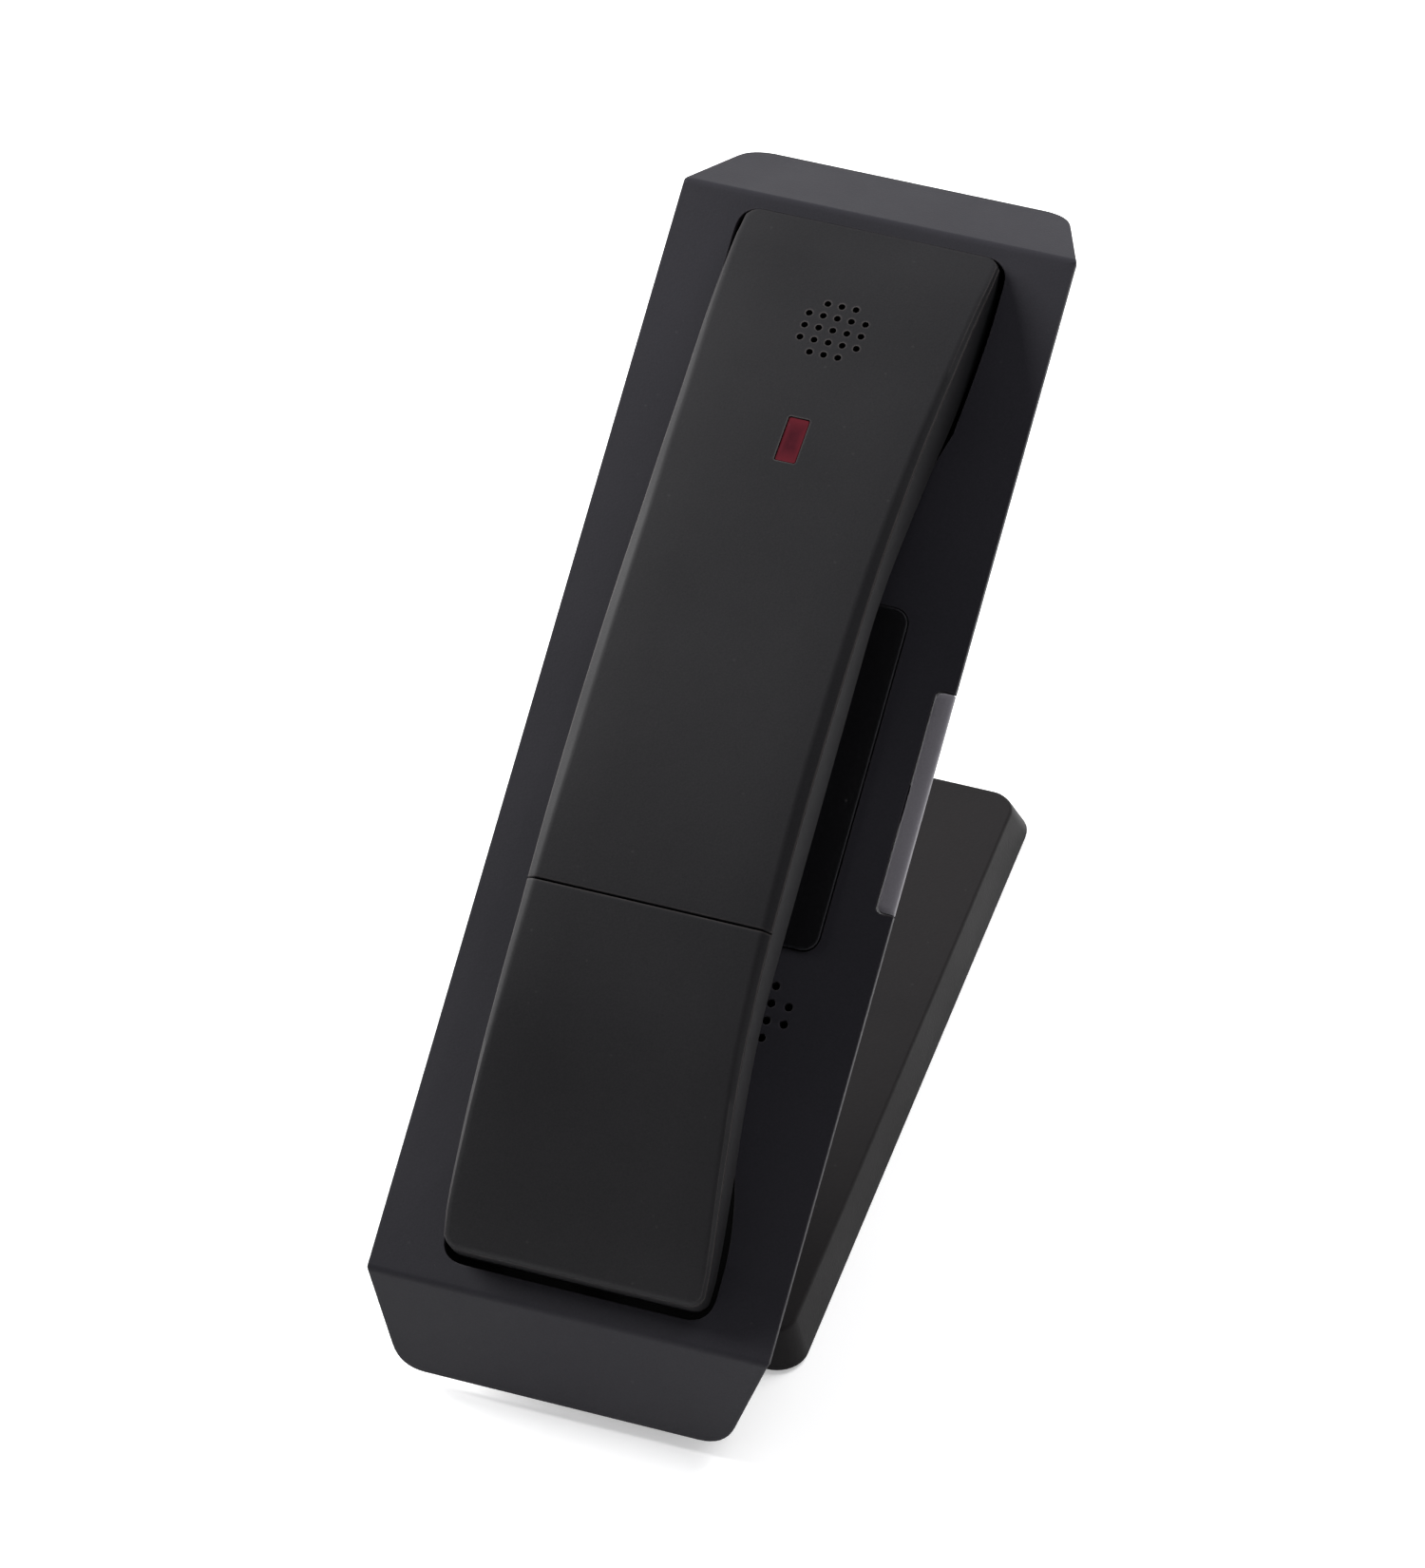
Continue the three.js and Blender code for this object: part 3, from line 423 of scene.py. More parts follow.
def mottle_effect():
    """Cloudy change between two close colours, with a fine speckle."""
    tree, given, made = effect(
        "mottle",
        [("Colour", "NodeSocketColor", (0.02, 0.02, 0.02, 1)),
         ("Other Colour", "NodeSocketColor", (0.03, 0.03, 0.03, 1)),
         ("Cloud Scale", "NodeSocketFloat", 18.0),
         ("Speckle", "NodeSocketFloat", 1.6)],
        [("Colour", "NodeSocketColor")],
    )
    cloud = noise_at(tree, given.outputs["Cloud Scale"], 4.0)
    steep = node(tree, "ShaderNodeMapRange")
    steep.inputs["From Min"].default_value = 0.32
    steep.inputs["From Max"].default_value = 0.68
    tree.links.new(cloud, steep.inputs["Value"])
    speck = maths(tree, "SUBTRACT", noise_at(tree, 3200.0, 2.0), 0.5)
    share = maths(tree, "ADD", steep.outputs[0], maths(tree, "MULTIPLY", speck, given.outputs["Speckle"]))
    held = tree.nodes.new("ShaderNodeClamp")
    tree.links.new(share, held.inputs["Value"])
    colour = blend_colours(tree, held.outputs[0], given.outputs["Colour"], given.outputs["Other Colour"])
    tree.links.new(colour, made.inputs["Colour"])
    return tree


def edge_wear_and_highlight_effect():
    """Paler outer edges, partly where hands and the cradle have rubbed and partly a painted highlight: a mask
    on the outer edges, broken up by noise.
    """
    tree, given, made = effect(
        "edge wear and highlight",
        [("Radius", "NodeSocketFloat", 0.0006), ("Amount", "NodeSocketFloat", 0.6)],
        [("Mask", "NodeSocketFloat")],
    )
    rounded = node(tree, "ShaderNodeBevel", samples=4)
    tree.links.new(given.outputs["Radius"], rounded.inputs["Radius"])
    facing = tree.nodes.new("ShaderNodeNewGeometry")
    agree = node(tree, "ShaderNodeVectorMath", operation="DOT_PRODUCT")
    tree.links.new(rounded.outputs["Normal"], agree.inputs[0])
    tree.links.new(facing.outputs["Normal"], agree.inputs[1])
    turned = maths(tree, "SUBTRACT", 1.0, agree.outputs["Value"])
    strong = maths(tree, "MULTIPLY", turned, 9.0)
    patchy = maths(tree, "MULTIPLY", noise_at(tree, 95.0, 5.0), 1.7)
    worn_and_highlit = maths(tree, "MULTIPLY", maths(tree, "MULTIPLY", strong, patchy), given.outputs["Amount"])
    held = tree.nodes.new("ShaderNodeClamp")
    tree.links.new(worn_and_highlit, held.inputs["Value"])
    tree.links.new(held.outputs[0], made.inputs["Mask"])
    return tree


def dust_effect():
    """Sparse pale flecks that have settled on the surface."""
    tree, given, made = effect(
        "dust",
        [("Scale", "NodeSocketFloat", 420.0), ("Amount", "NodeSocketFloat", 0.35)],
        [("Mask", "NodeSocketFloat")],
    )
    where = tree.nodes.new("ShaderNodeTexCoord").outputs["Object"]
    cells = node(tree, "ShaderNodeTexVoronoi")
    tree.links.new(where, cells.inputs["Vector"])
    tree.links.new(given.outputs["Scale"], cells.inputs["Scale"])
    near = node(tree, "ShaderNodeMapRange")
    near.inputs["From Min"].default_value = 0.16
    near.inputs["From Max"].default_value = 0.06
    tree.links.new(cells.outputs["Distance"], near.inputs["Value"])
    chosen = maths(tree, "GREATER_THAN", noise_at(tree, 160.0, 2.0), 0.62)
    fleck = maths(tree, "MULTIPLY", near.outputs[0], chosen)
    tree.links.new(maths(tree, "MULTIPLY", fleck, given.outputs["Amount"]), made.inputs["Mask"])
    return tree


def grain_effect():
    """The height of a fine moulded or powder-coated texture, and how the sheen varies with it."""
    tree, given, made = effect(
        "grain",
        [("Scale", "NodeSocketFloat", 2200.0), ("Smooth", "NodeSocketFloat", 0.5),
         ("Rough", "NodeSocketFloat", 0.6)],
        [("Height", "NodeSocketFloat"), ("Roughness", "NodeSocketFloat")],
    )
    fine = noise_at(tree, given.outputs["Scale"], 2.0)
    wide = maths(tree, "MULTIPLY", noise_at(tree, 240.0, 3.0), 0.6)
    tree.links.new(maths(tree, "ADD", fine, wide), made.inputs["Height"])
    sheen = node(tree, "ShaderNodeMapRange")
    sheen.inputs["From Min"].default_value = 0.3
    sheen.inputs["From Max"].default_value = 0.7
    tree.links.new(noise_at(tree, 34.0, 5.0), sheen.inputs["Value"])
    tree.links.new(given.outputs["Smooth"], sheen.inputs["To Min"])
    tree.links.new(given.outputs["Rough"], sheen.inputs["To Max"])
    tree.links.new(sheen.outputs[0], made.inputs["Roughness"])
    return tree


def brush_effect():
    """Long fine lines along one direction, as on drawn or brushed metal."""
    tree, given, made = effect(
        "brushed lines",
        [("Depth", "NodeSocketFloat", 1.0)],
        [("Height", "NodeSocketFloat"), ("Tone", "NodeSocketFloat")],
    )
    lines = noise_at(tree, 900.0, 3.0, stretch=(1.0, 0.04, 1.0))
    tree.links.new(maths(tree, "MULTIPLY", lines, given.outputs["Depth"]), made.inputs["Height"])
    tree.links.new(lines, made.inputs["Tone"])
    return tree


MOTTLE = mottle_effect()
EDGE_WEAR_AND_HIGHLIGHT = edge_wear_and_highlight_effect()
DUST = dust_effect()
GRAIN = grain_effect()
BRUSHED = brush_effect()


# ---------------------------------------------------------------- finishes

def placed(tree, group, **values):
    """A shared effect put into a finish, with this finish's own values."""
    made = tree.nodes.new("ShaderNodeGroup")
    made.node_tree = group
    for label, value in values.items():
        made.inputs[label.replace("_", " ")].default_value = value
    return made


def opaque(red, green, blue):
    """A colour as a material takes it."""
    return (red, green, blue, 1)


DUST_GREY = opaque(0.35, 0.34, 0.33)


def finish_of(name, colour, other, worn_and_highlit, sheen, grain, depth, rub_and_highlight=0.5, dust=0.02, cloud=18.0,
              metallic=0.0, specular=0.5):
    """A maker's finish: mottled colour, edges paler from wear and from a painted highlight, dust, uneven
    sheen and grain.
    """
    material = bpy.data.materials.new(name)
    material.use_nodes = True
    tree = material.node_tree
    shader = tree.nodes["Principled BSDF"]
    shader.inputs["Metallic"].default_value = metallic
    shader.inputs["Specular IOR Level"].default_value = specular
    tone = placed(tree, MOTTLE, Colour=colour, Other_Colour=other, Cloud_Scale=cloud)
    edges = placed(tree, EDGE_WEAR_AND_HIGHLIGHT, Amount=rub_and_highlight)
    flecks = placed(tree, DUST, Amount=dust)
    surface = placed(tree, GRAIN, Scale=grain, Smooth=sheen[0], Rough=sheen[1])
    # painted highlight together with wear: every outer edge is given the lighter edge colour
    rubbed_and_highlit = blend_colours(tree, edges.outputs["Mask"], tone.outputs["Colour"], worn_and_highlit)
    dusty = blend_colours(tree, flecks.outputs["Mask"], rubbed_and_highlit, DUST_GREY)
    tree.links.new(dusty, shader.inputs["Base Color"])
    tree.links.new(surface.outputs["Roughness"], shader.inputs["Roughness"])
    bump = node(tree, "ShaderNodeBump", Strength=0.5, Distance=depth)
    tree.links.new(surface.outputs["Height"], bump.inputs["Height"])
    tree.links.new(bump.outputs["Normal"], shader.inputs["Normal"])
    return material


def metal_of(name, colour, other, sheen):
    """A plated or drawn metal with fine lines."""
    material = finish_of(name, colour, other, other, sheen, 1500.0, 0.00001, rub_and_highlight=0.3, dust=0.1,
                         cloud=60.0, metallic=1.0)
    tree = material.node_tree
    lines = placed(tree, BRUSHED, Depth=0.6)
    bump = next(n for n in tree.nodes if n.type == "BUMP")
    tree.links.new(lines.outputs["Height"], bump.inputs["Height"])
    return material


# the third colour of each finish is its edge colour, lighter for wear and for a painted highlight
CHARCOAL_PAINT = finish_of(
    "charcoal paint", opaque(0.0152, 0.0147, 0.0188), opaque(0.0198, 0.0189, 0.0238),
    opaque(0.055, 0.051, 0.056), (0.52, 0.62), 2400.0, 0.00004, rub_and_highlight=0.3, specular=0.2)
CHARCOAL_SHELL = finish_of(
    "charcoal shell", opaque(0.0118, 0.0116, 0.0128), opaque(0.0172, 0.0167, 0.0182),
    opaque(0.065, 0.058, 0.057), (0.58, 0.68), 2100.0, 0.00004, rub_and_highlight=0.4, specular=0.15)
FOOT_SHELL = finish_of(
    "foot shell", opaque(0.0090, 0.0082, 0.0088), opaque(0.0120, 0.0108, 0.0114), opaque(0.05, 0.043, 0.040),
    (0.5, 0.62), 1900.0, 0.00005, rub_and_highlight=0.4, specular=0.2)
CRADLE_BLACK = finish_of(
    "cradle black", opaque(0.004, 0.004, 0.004), opaque(0.006, 0.006, 0.006), opaque(0.02, 0.02, 0.02),
    (0.65, 0.8), 1800.0, 0.00005, rub_and_highlight=0.2, specular=0.1)
PANEL_GLOSS = finish_of(
    "panel gloss", opaque(0.0048, 0.0048, 0.0056), opaque(0.0062, 0.0062, 0.0070), opaque(0.05, 0.05, 0.055),
    (0.09, 0.16), 900.0, 0.000003, rub_and_highlight=0.5, dust=0.1, specular=0.45)
KEY_GREY = finish_of(
    "side key grey", opaque(0.15, 0.143, 0.16), opaque(0.175, 0.168, 0.185), opaque(0.28, 0.27, 0.30),
    (0.4, 0.5), 2600.0, 0.00002, rub_and_highlight=0.5, specular=0.3)
KEYCAP = finish_of(
    "keycap", opaque(0.05, 0.05, 0.055), opaque(0.065, 0.065, 0.07), opaque(0.16, 0.16, 0.17),
    (0.38, 0.5), 2300.0, 0.00002, rub_and_highlight=0.5)
MOULDED_BLACK = finish_of(
    "moulded black", opaque(0.012, 0.012, 0.012), opaque(0.018, 0.018, 0.018), opaque(0.06, 0.06, 0.06),
    (0.45, 0.6), 1700.0, 0.00004)
SOLE_RUBBER = finish_of(
    "sole rubber", opaque(0.014, 0.014, 0.014), opaque(0.022, 0.022, 0.021), opaque(0.05, 0.05, 0.05),
    (0.75, 0.9), 1200.0, 0.00012, rub_and_highlight=0.4)
BOARD_GREEN = finish_of(
    "board green", opaque(0.02, 0.11, 0.045), opaque(0.03, 0.15, 0.06), opaque(0.3, 0.28, 0.1),
    (0.3, 0.45), 700.0, 0.00003, rub_and_highlight=0.4, cloud=220.0)
CELL_WRAP = finish_of(
    "cell wrap", opaque(0.05, 0.09, 0.17), opaque(0.06, 0.11, 0.2), opaque(0.2, 0.24, 0.3),
    (0.25, 0.35), 800.0, 0.00002)
NUMERAL = finish_of(
    "numeral", opaque(0.5, 0.5, 0.5), opaque(0.58, 0.58, 0.58), opaque(0.3, 0.3, 0.3),
    (0.4, 0.5), 2600.0, 0.00001, rub_and_highlight=0.1, dust=0.0)
ZINC = metal_of("zinc", opaque(0.5, 0.5, 0.52), opaque(0.6, 0.6, 0.6), (0.28, 0.42))
GILT = metal_of("gilt", opaque(0.75, 0.55, 0.22), opaque(0.85, 0.66, 0.3), (0.22, 0.34))


def red_window_finish():
    """Deep red clear plastic, painted lighter at both ends for the light that shines through it from behind.
    """
    material = finish_of("red window", opaque(0.038, 0.004, 0.008), opaque(0.05, 0.0055, 0.0105),
                         opaque(0.12, 0.012, 0.02), (0.3, 0.4), 900.0, 0.000004, rub_and_highlight=0.15, dust=0.05,
                         cloud=500.0, specular=0.15)
    tree = material.node_tree
    shader = tree.nodes["Principled BSDF"]
    share = node(tree, "ShaderNodeAttribute", attribute_name="painted_end_light")
    base = shader.inputs["Base Color"].links[0].from_socket
    # painted light: the window's colour is made lighter towards its ends
    lit = blend_colours(tree, share.outputs["Fac"], base, opaque(0.085, 0.0085, 0.014))
    tree.links.new(lit, shader.inputs["Base Color"])
    return material


RED_WINDOW = red_window_finish()


# ---------------------------------------------------------------- base plate

def folded(x, s, depth):
    """Takes a point of the flat blank to the folded plate."""
    if s > PLATE_LENGTH / 2:
        px, pv, ph = folded(x, PLATE_LENGTH - s, depth)
        return px, PLATE_LENGTH - pv, ph
    tangent = BEND_RADIUS * math.tan(FLANGE_ANGLE / 2)
    if s >= tangent:
        return x, s, -depth
    if s > -tangent:
        turn = FLANGE_ANGLE * (tangent - s) / (2 * tangent)
        radius = BEND_RADIUS - depth
        return x, tangent - radius * math.sin(turn), -BEND_RADIUS + radius * math.cos(turn)
    inward = Vector((math.sin(FLANGE_ANGLE), -math.cos(FLANGE_ANGLE))) * depth
    return x, s * math.cos(FLANGE_ANGLE) + inward.x, s * math.sin(FLANGE_ANGLE) + inward.y


def flange_corner(side):
    """The rounded far corner of one flange, as points from the fold's side to the far edge."""
    far = PLATE_HALF - FLANGE_TAPER
    share = FLANGE_CORNER / math.hypot(FLANGE_TAPER, FLANGE)
    start = (far + FLANGE_TAPER * share, FLANGE - FLANGE * share)
    end = (far - FLANGE_CORNER, FLANGE)
    curve = bow(start, (far, FLANGE), end, 8) + [end]
    return [(side * x, y) for x, y in curve]


def plate_outline():
    """The flat blank, anticlockwise, with the notch for the side key."""
    top = [(x, PLATE_LENGTH + y) for x, y in flange_corner(1)]
    top_left = [(x, PLATE_LENGTH + y) for x, y in flange_corner(-1)]
    low_right = [(x, -y) for x, y in flange_corner(1)]
    low_left = [(x, -y) for x, y in flange_corner(-1)]
    inner, low, high, corner = NOTCH.values()
    notch = [(PLATE_HALF, low), *bow((inner + corner, low), (inner, low), (inner, low + corner), 4),
             (inner, low + corner), *bow((inner, high - corner), (inner, high), (inner + corner, high), 4),
             (inner + corner, high), (PLATE_HALF, high)]
    return (low_left + low_right[::-1] + [(PLATE_HALF, 0)] + notch + [(PLATE_HALF, PLATE_LENGTH)]
            + top + top_left[::-1] + [(-PLATE_HALF, PLATE_LENGTH), (-PLATE_HALF, 0)])


def opening_outline(end, side, half, corner, waist, waist_at, inner, length):
    """The outline of a cradle's opening: widest at the handset's end, narrowing inwards."""
    straight, ease = 9.5, 8
    shoulder = waist - 1.5
    shoulder_at = length - 6

    def at(s):
        return end + side * s

    right = [*bow((inner, at(length)), (shoulder - 1, at(length)), (shoulder, at(shoulder_at))),
             (shoulder, at(shoulder_at)),
             *bow((waist, at(waist_at)), (half, at(straight + ease)), (half, at(straight)), 8),
             *bow((half, at(corner)), (half, end), (half - corner, end), 8),
             (half - corner, end)]
    return right + [(-x, y) for x, y in right[::-1]]


def grille(middle, pitch, radius, rows):
    """Outlines of a round grille's holes, from its top row down."""
    holes = []
    for row, count in enumerate(rows):
        for column in range(count):
            x = middle[0] + (column - (count - 1) / 2) * pitch
            y = middle[1] + ((len(rows) - 1) / 2 - row) * pitch
            holes.append(circle(x, y, radius, 12))
    return holes


def panel_outline(gap=0):
    half, low, high, corner = PANEL.values()
    return rounded_rect(-half - gap, half + gap, low - gap, high + gap, corner + gap)


def make_faceplate():
    """One punched sheet, folded down at both ends."""
    holes = [opening_outline(**LOWER_OPENING), opening_outline(**UPPER_OPENING), panel_outline(PANEL_GAP)]
    blank = punched_sheet(plate_outline(), holes + grille(**SPEAKER_GRILLE), SHEET, SHEET_EDGE)
    tangent = BEND_RADIUS * math.tan(FLANGE_ANGLE / 2)
    for fold in (0, PLATE_LENGTH):
        for k in range(-4, 5):
            everything = blank.verts[:] + blank.edges[:] + blank.faces[:]
            bmesh.ops.bisect_plane(blank, geom=everything, plane_co=(0, fold + tangent * k / 4, 0),
                                   plane_no=(0, 1, 0))
    for v in blank.verts:
        v.co = ON_PLATE @ Vector(folded(v.co.x, v.co.y, -v.co.z))
    bmesh.ops.recalc_face_normals(blank, faces=blank.faces)
    even_light(piece("folded_plate", blank, "base", CHARCOAL_PAINT, ["faceplate"]))


def make_panel():
    """The glossy panel, let into the plate and standing a little proud of it."""
    glass = punched_sheet(panel_outline(), [], PANEL_THICK, 0.18)
    bmesh.ops.translate(glass, verts=glass.verts, vec=(0, 0, PANEL_PROUD))
    bmesh.ops.transform(glass, matrix=ON_PLATE, verts=glass.verts)
    even_light(piece("panel_glass", glass, "base", PANEL_GLOSS, ["panel_lens"]))


def make_side_key():
    """A long satin bar, crowned across its width, with round inner corners."""
    inner, outer, low, high, corner = 34.6, 37.95, 85.3, 127.7, 1.4
    rings = []
    for v in [low, low + 0.15, low + 0.5, low + 1.2, *np.linspace(low + 3, high - 3, 9),
              high - 1.2, high - 0.5, high - 0.15, high]:
        end = min(v - low, high - v, corner)
        trim = corner - math.sqrt(max(0, corner ** 2 - (corner - end) ** 2))
        drop = max(0, 0.35 - end) * 0.6
        left = inner + trim * 0.9
        crown = [(left, -1.3), (left, 0.02 - drop), (left + 0.25, 0.2 - drop), (left + 0.9, 0.33 - drop),
                 (36.5, 0.34 - drop), (37.3, 0.24 - drop), (37.75, 0.02 - drop),
                 (outer, -0.4), (outer, -1.3)]
        rings.append([(x, v, z) for x, z in crown])
    bar = skin(rings, ON_PLATE)
    arm = prism([(inner + 0.1, 103), (36, 103), (36, 110), (inner + 0.1, 110)], -3.1, -1.25, ON_PLATE)
    reach = prism([(27, 103), (36, 103), (36, 110), (27, 110)], -3.1, -1.9, ON_PLATE)
    piece("side_key_bar", merged(bar, arm, reach), "side_key", KEY_GREY, ["side_key"], 40)


# ---------------------------------------------------------------- handset

def lid_ring(v, low_end, high_end):
    """A cover's section at v: seat, bevel, softened edge and a slightly crowned back."""
    drop = 0.0
    for end, radius in (low_end, high_end):
        from_end = abs(v - end)
        if from_end < radius:
            drop = max(drop, radius - math.sqrt(radius ** 2 - (radius - from_end) ** 2))
    height = back_height(v)
    seat = height - LID
    drop = min(drop, LID - 0.35)
    half = half_width(v)
    flat = half - bevel_width(v)
    right = [(half - 0.2, seat), (half, seat + 0.16), (flat + 0.42, height - 0.22 - drop),
             (flat, height - 0.05 - drop), (flat - 0.55, height - drop),
             (flat * 0.6, height + 0.05 - drop), (0, height + 0.07 - drop)]
    left = [(-x, z) for x, z in right[-2::-1]]
    return [(x, v, z) for x, z in right + left]


def cover(low, high, low_round, high_round):
    """A cover of the handset's back from low to high, with its two ends rounded over."""
    places = stations(low, high, low_round, high_round)
    ends = ((low, low_round), (high, high_round))
    return skin([lid_ring(v, *ends) for v in places], ON_PLATE)


def tub_ring(v, inset, rise):
    """The front shell's section at v, set in from its outer skin and with its rim raised."""
    half = half_width(v) - inset
    top = back_height(v) - LID - 0.3 + rise
    under = under_height(v) + inset
    sweep = under_round(v) - inset * 0.6
    right = [(half, top)]
    for k in range(7):
        turn = math.pi / 2 * k / 6
        right.append((half - sweep * (1 - math.cos(turn)), under + sweep * (1 - math.sin(turn))))
    return [(x, v, z) for x, z in right + [(-x, z) for x, z in right[::-1]]]


def lean_at(v):
    """A frame on the handset's back at v: Y runs along it and Z stands out of it."""
    slope = math.atan2(back_height(v + 3) - back_height(v - 3), 6)
    spot = Matrix.Translation((0, v, back_height(v)))
    return ON_PLATE @ spot @ Matrix.Rotation(slope, 4, "X")


def window_outline(margin, corner):
    across, along = WINDOW_HALF
    return rounded_rect(-across - margin, across + margin, -along - margin, along + margin, corner, 3)


def make_back_cover():
    """The longer cover, with the ringer's holes and the window's hole."""
    shell = cover(COVER_SEAM + SEAM_GAP, HANDSET_HIGH, 0.25, 0.5)
    drills = merged(*[prism(hole, 0, 30, ON_PLATE) for hole in grille(**RINGER_GRILLE)])
    shell = carved(shell, drills, prism(window_outline(0.06, 0.4), -3, 3, lean_at(WINDOW_AT)))
    piece("back_cover", shell, "handset", CHARCOAL_SHELL, ["handset_back_cover"])


def make_battery_cover():
    """The shorter cover at the mouth end, which lifts off."""
    shell = cover(HANDSET_LOW, COVER_SEAM - SEAM_GAP, 0.7, 0.25)
    piece("battery_door", shell, "battery_cover", CHARCOAL_SHELL, ["battery_cover"])


def key_places():
    """Middle and half sizes of every key of the handset, by node name."""
    places = {}
    for row, v in enumerate(KEY_ROWS):
        for column, x in enumerate(KEY_COLUMNS):
            places[f"number_key_{row * 3 + column + 1}"] = (x, v, *NUMBER_KEY_HALF)
    x, v = CALL_KEYS
    places["call_key_left"] = (-x, v, *CALL_KEY_HALF)
    places["call_key_right"] = (x, v, *CALL_KEY_HALF)
    return places


def around(x, v, half_x, half_v, margin, corner, steps=4):
    """A rounded outline round a key, wider than it by the margin."""
    return rounded_rect(x - half_x - margin, x + half_x + margin, v - half_v - margin, v + half_v + margin,
                        corner, steps)


def make_front_shell():
    """The hollow keypad side, with holes for keys, display, sound, studs and screws."""
    places = stations(HANDSET_LOW, HANDSET_HIGH, 1, 1)
    outside = skin([tub_ring(v, 0, 0) for v in places], ON_PLATE)
    inner = [v for v in places if HANDSET_LOW + WALL < v < HANDSET_HIGH - WALL]
    hollow = skin([tub_ring(v, WALL, 4) for v in inner], ON_PLATE)
    windows = [prism(around(*key, 0.3, 1.8), 8, 14, ON_PLATE) for key in key_places().values()]
    windows.append(prism(rounded_rect(-15.3, 15.3, 120.7, 132.3, 0.8, 4), 8, 14, ON_PLATE))
    drills = [prism(circle((c - 1) * 3, EARPIECE_AT + (r - 1) * 3, 0.7, 12), -12, 0, ON_PLATE)
              for r in range(3) for c in range(3)]
    drills.append(prism(circle(0, MICROPHONE_AT, 0.7, 12), -4, 5, ON_PLATE))
    drills += [prism(circle(side * STUDS[0], STUDS[1], 2.05, 24), -6, 5, ON_PLATE) for side in (-1, 1)]
    x, v = SHELL_SCREWS
    wells = [prism(circle(side * x, v, 2.6, 24), 5, 12, ON_PLATE) for side in (-1, 1)]
    bores = [prism(circle(side * x, v, 1.4, 16), 11, 15, ON_PLATE) for side in (-1, 1)]
    shell = carved(outside, hollow, merged(*windows), merged(*drills), merged(*wells), merged(*bores))
    piece("front_shell", shell, "handset", CHARCOAL_SHELL, ["handset_front_shell"])


def make_window():
    """The red window in the handset's back."""
    place = lean_at(WINDOW_AT)
    outline = window_outline(0, 0.35)
    rings = [[(x, y, -2.2) for x, y in outline], [(x, y, -0.28) for x, y in outline],
             [(x * 0.93, y * 0.97, -0.12) for x, y in outline]]
    for k in range(1, 6):
        share = 1 - k / 6
        rings.append([(x * 0.93 * share, y * 0.97 * share, -0.11) for x, y in outline])
    window = merged(skin(rings, place), prism(window_outline(1, 0.4), -3.2, -2, place))
    glass = piece("red_window", window, "handset", RED_WINDOW, ["indicator_window"])
    middle = place @ Vector((0, 0, 0))
    run = (place @ Vector((0, 1, 0)) - middle).normalized()
    # painted light: how much lighter the red window is painted towards each end
    share = glass.data.attributes.new("painted_end_light", "FLOAT", "POINT")
    half_length = WINDOW_HALF[1] / 1000
    values = [min(1, max(0, abs((v.co - middle).dot(run)) / half_length * 1.5 - 0.5))
              for v in glass.data.vertices]
    share.data.foreach_set("value", values)


def key_cap(x, v, half_x, half_v):
    """A soft-edged cap with a shallow dish, on its flange. It points away from the handset."""
    levels = ((1.4, 10.32), (0.55, 10.12), (0.15, 10.3), (0, 10.75), (0, 13.2))
    rings = [[(px, pv, 10.38) for px, pv in around(x, v, half_x * 0.4, half_v * 0.4, 0, 0.7)]]
    for inset, z in levels:
        outline = around(x, v, half_x, half_v, -inset, 1.7 - inset * 0.5)
        rings.append([(px, pv, z) for px, pv in outline])
    flange = prism(around(x, v, half_x, half_v, 0.8, 0.5, 3), 13.1, 14.3, ON_PLATE)
    return merged(skin(rings, ON_PLATE), flange)


def printed(face, x, v, size):
    """A flat character that lies just under a key, to be read from the keypad's side."""
    curve = bpy.data.curves.new("face", "FONT")
    curve.body = face
    curve.size = size
    curve.align_x = "CENTER"
    curve.align_y = "CENTER"
    curve.extrude = 0.04
    holder = bpy.data.objects.new("face", curve)
    bpy.context.scene.collection.objects.link(holder)
    graph = bpy.context.evaluated_depsgraph_get()
    mesh = bpy.data.meshes.new_from_object(holder.evaluated_get(graph))
    bm = bmesh.new()
    bm.from_mesh(mesh)
    turn = Matrix.Translation((x, v, 10.3)) @ Matrix.Rotation(math.pi, 4, "Y")
    bmesh.ops.transform(bm, matrix=ON_PLATE @ turn, verts=bm.verts)
    bpy.data.objects.remove(holder)
    return bm


def make_keypad():
    """Every key's cap, and the character on each number key."""
    faces = dict(zip(key_places(), KEY_FACES))
    for name, (x, v, half_x, half_v) in key_places().items():
        piece(name + "_cap", key_cap(x, v, half_x, half_v), name, KEYCAP, [name], 30)
        if name in faces:
            piece(name + "_face", printed(faces[name], x, v, 4.2), name, NUMERAL)


# ---------------------------------------------------------------- foot

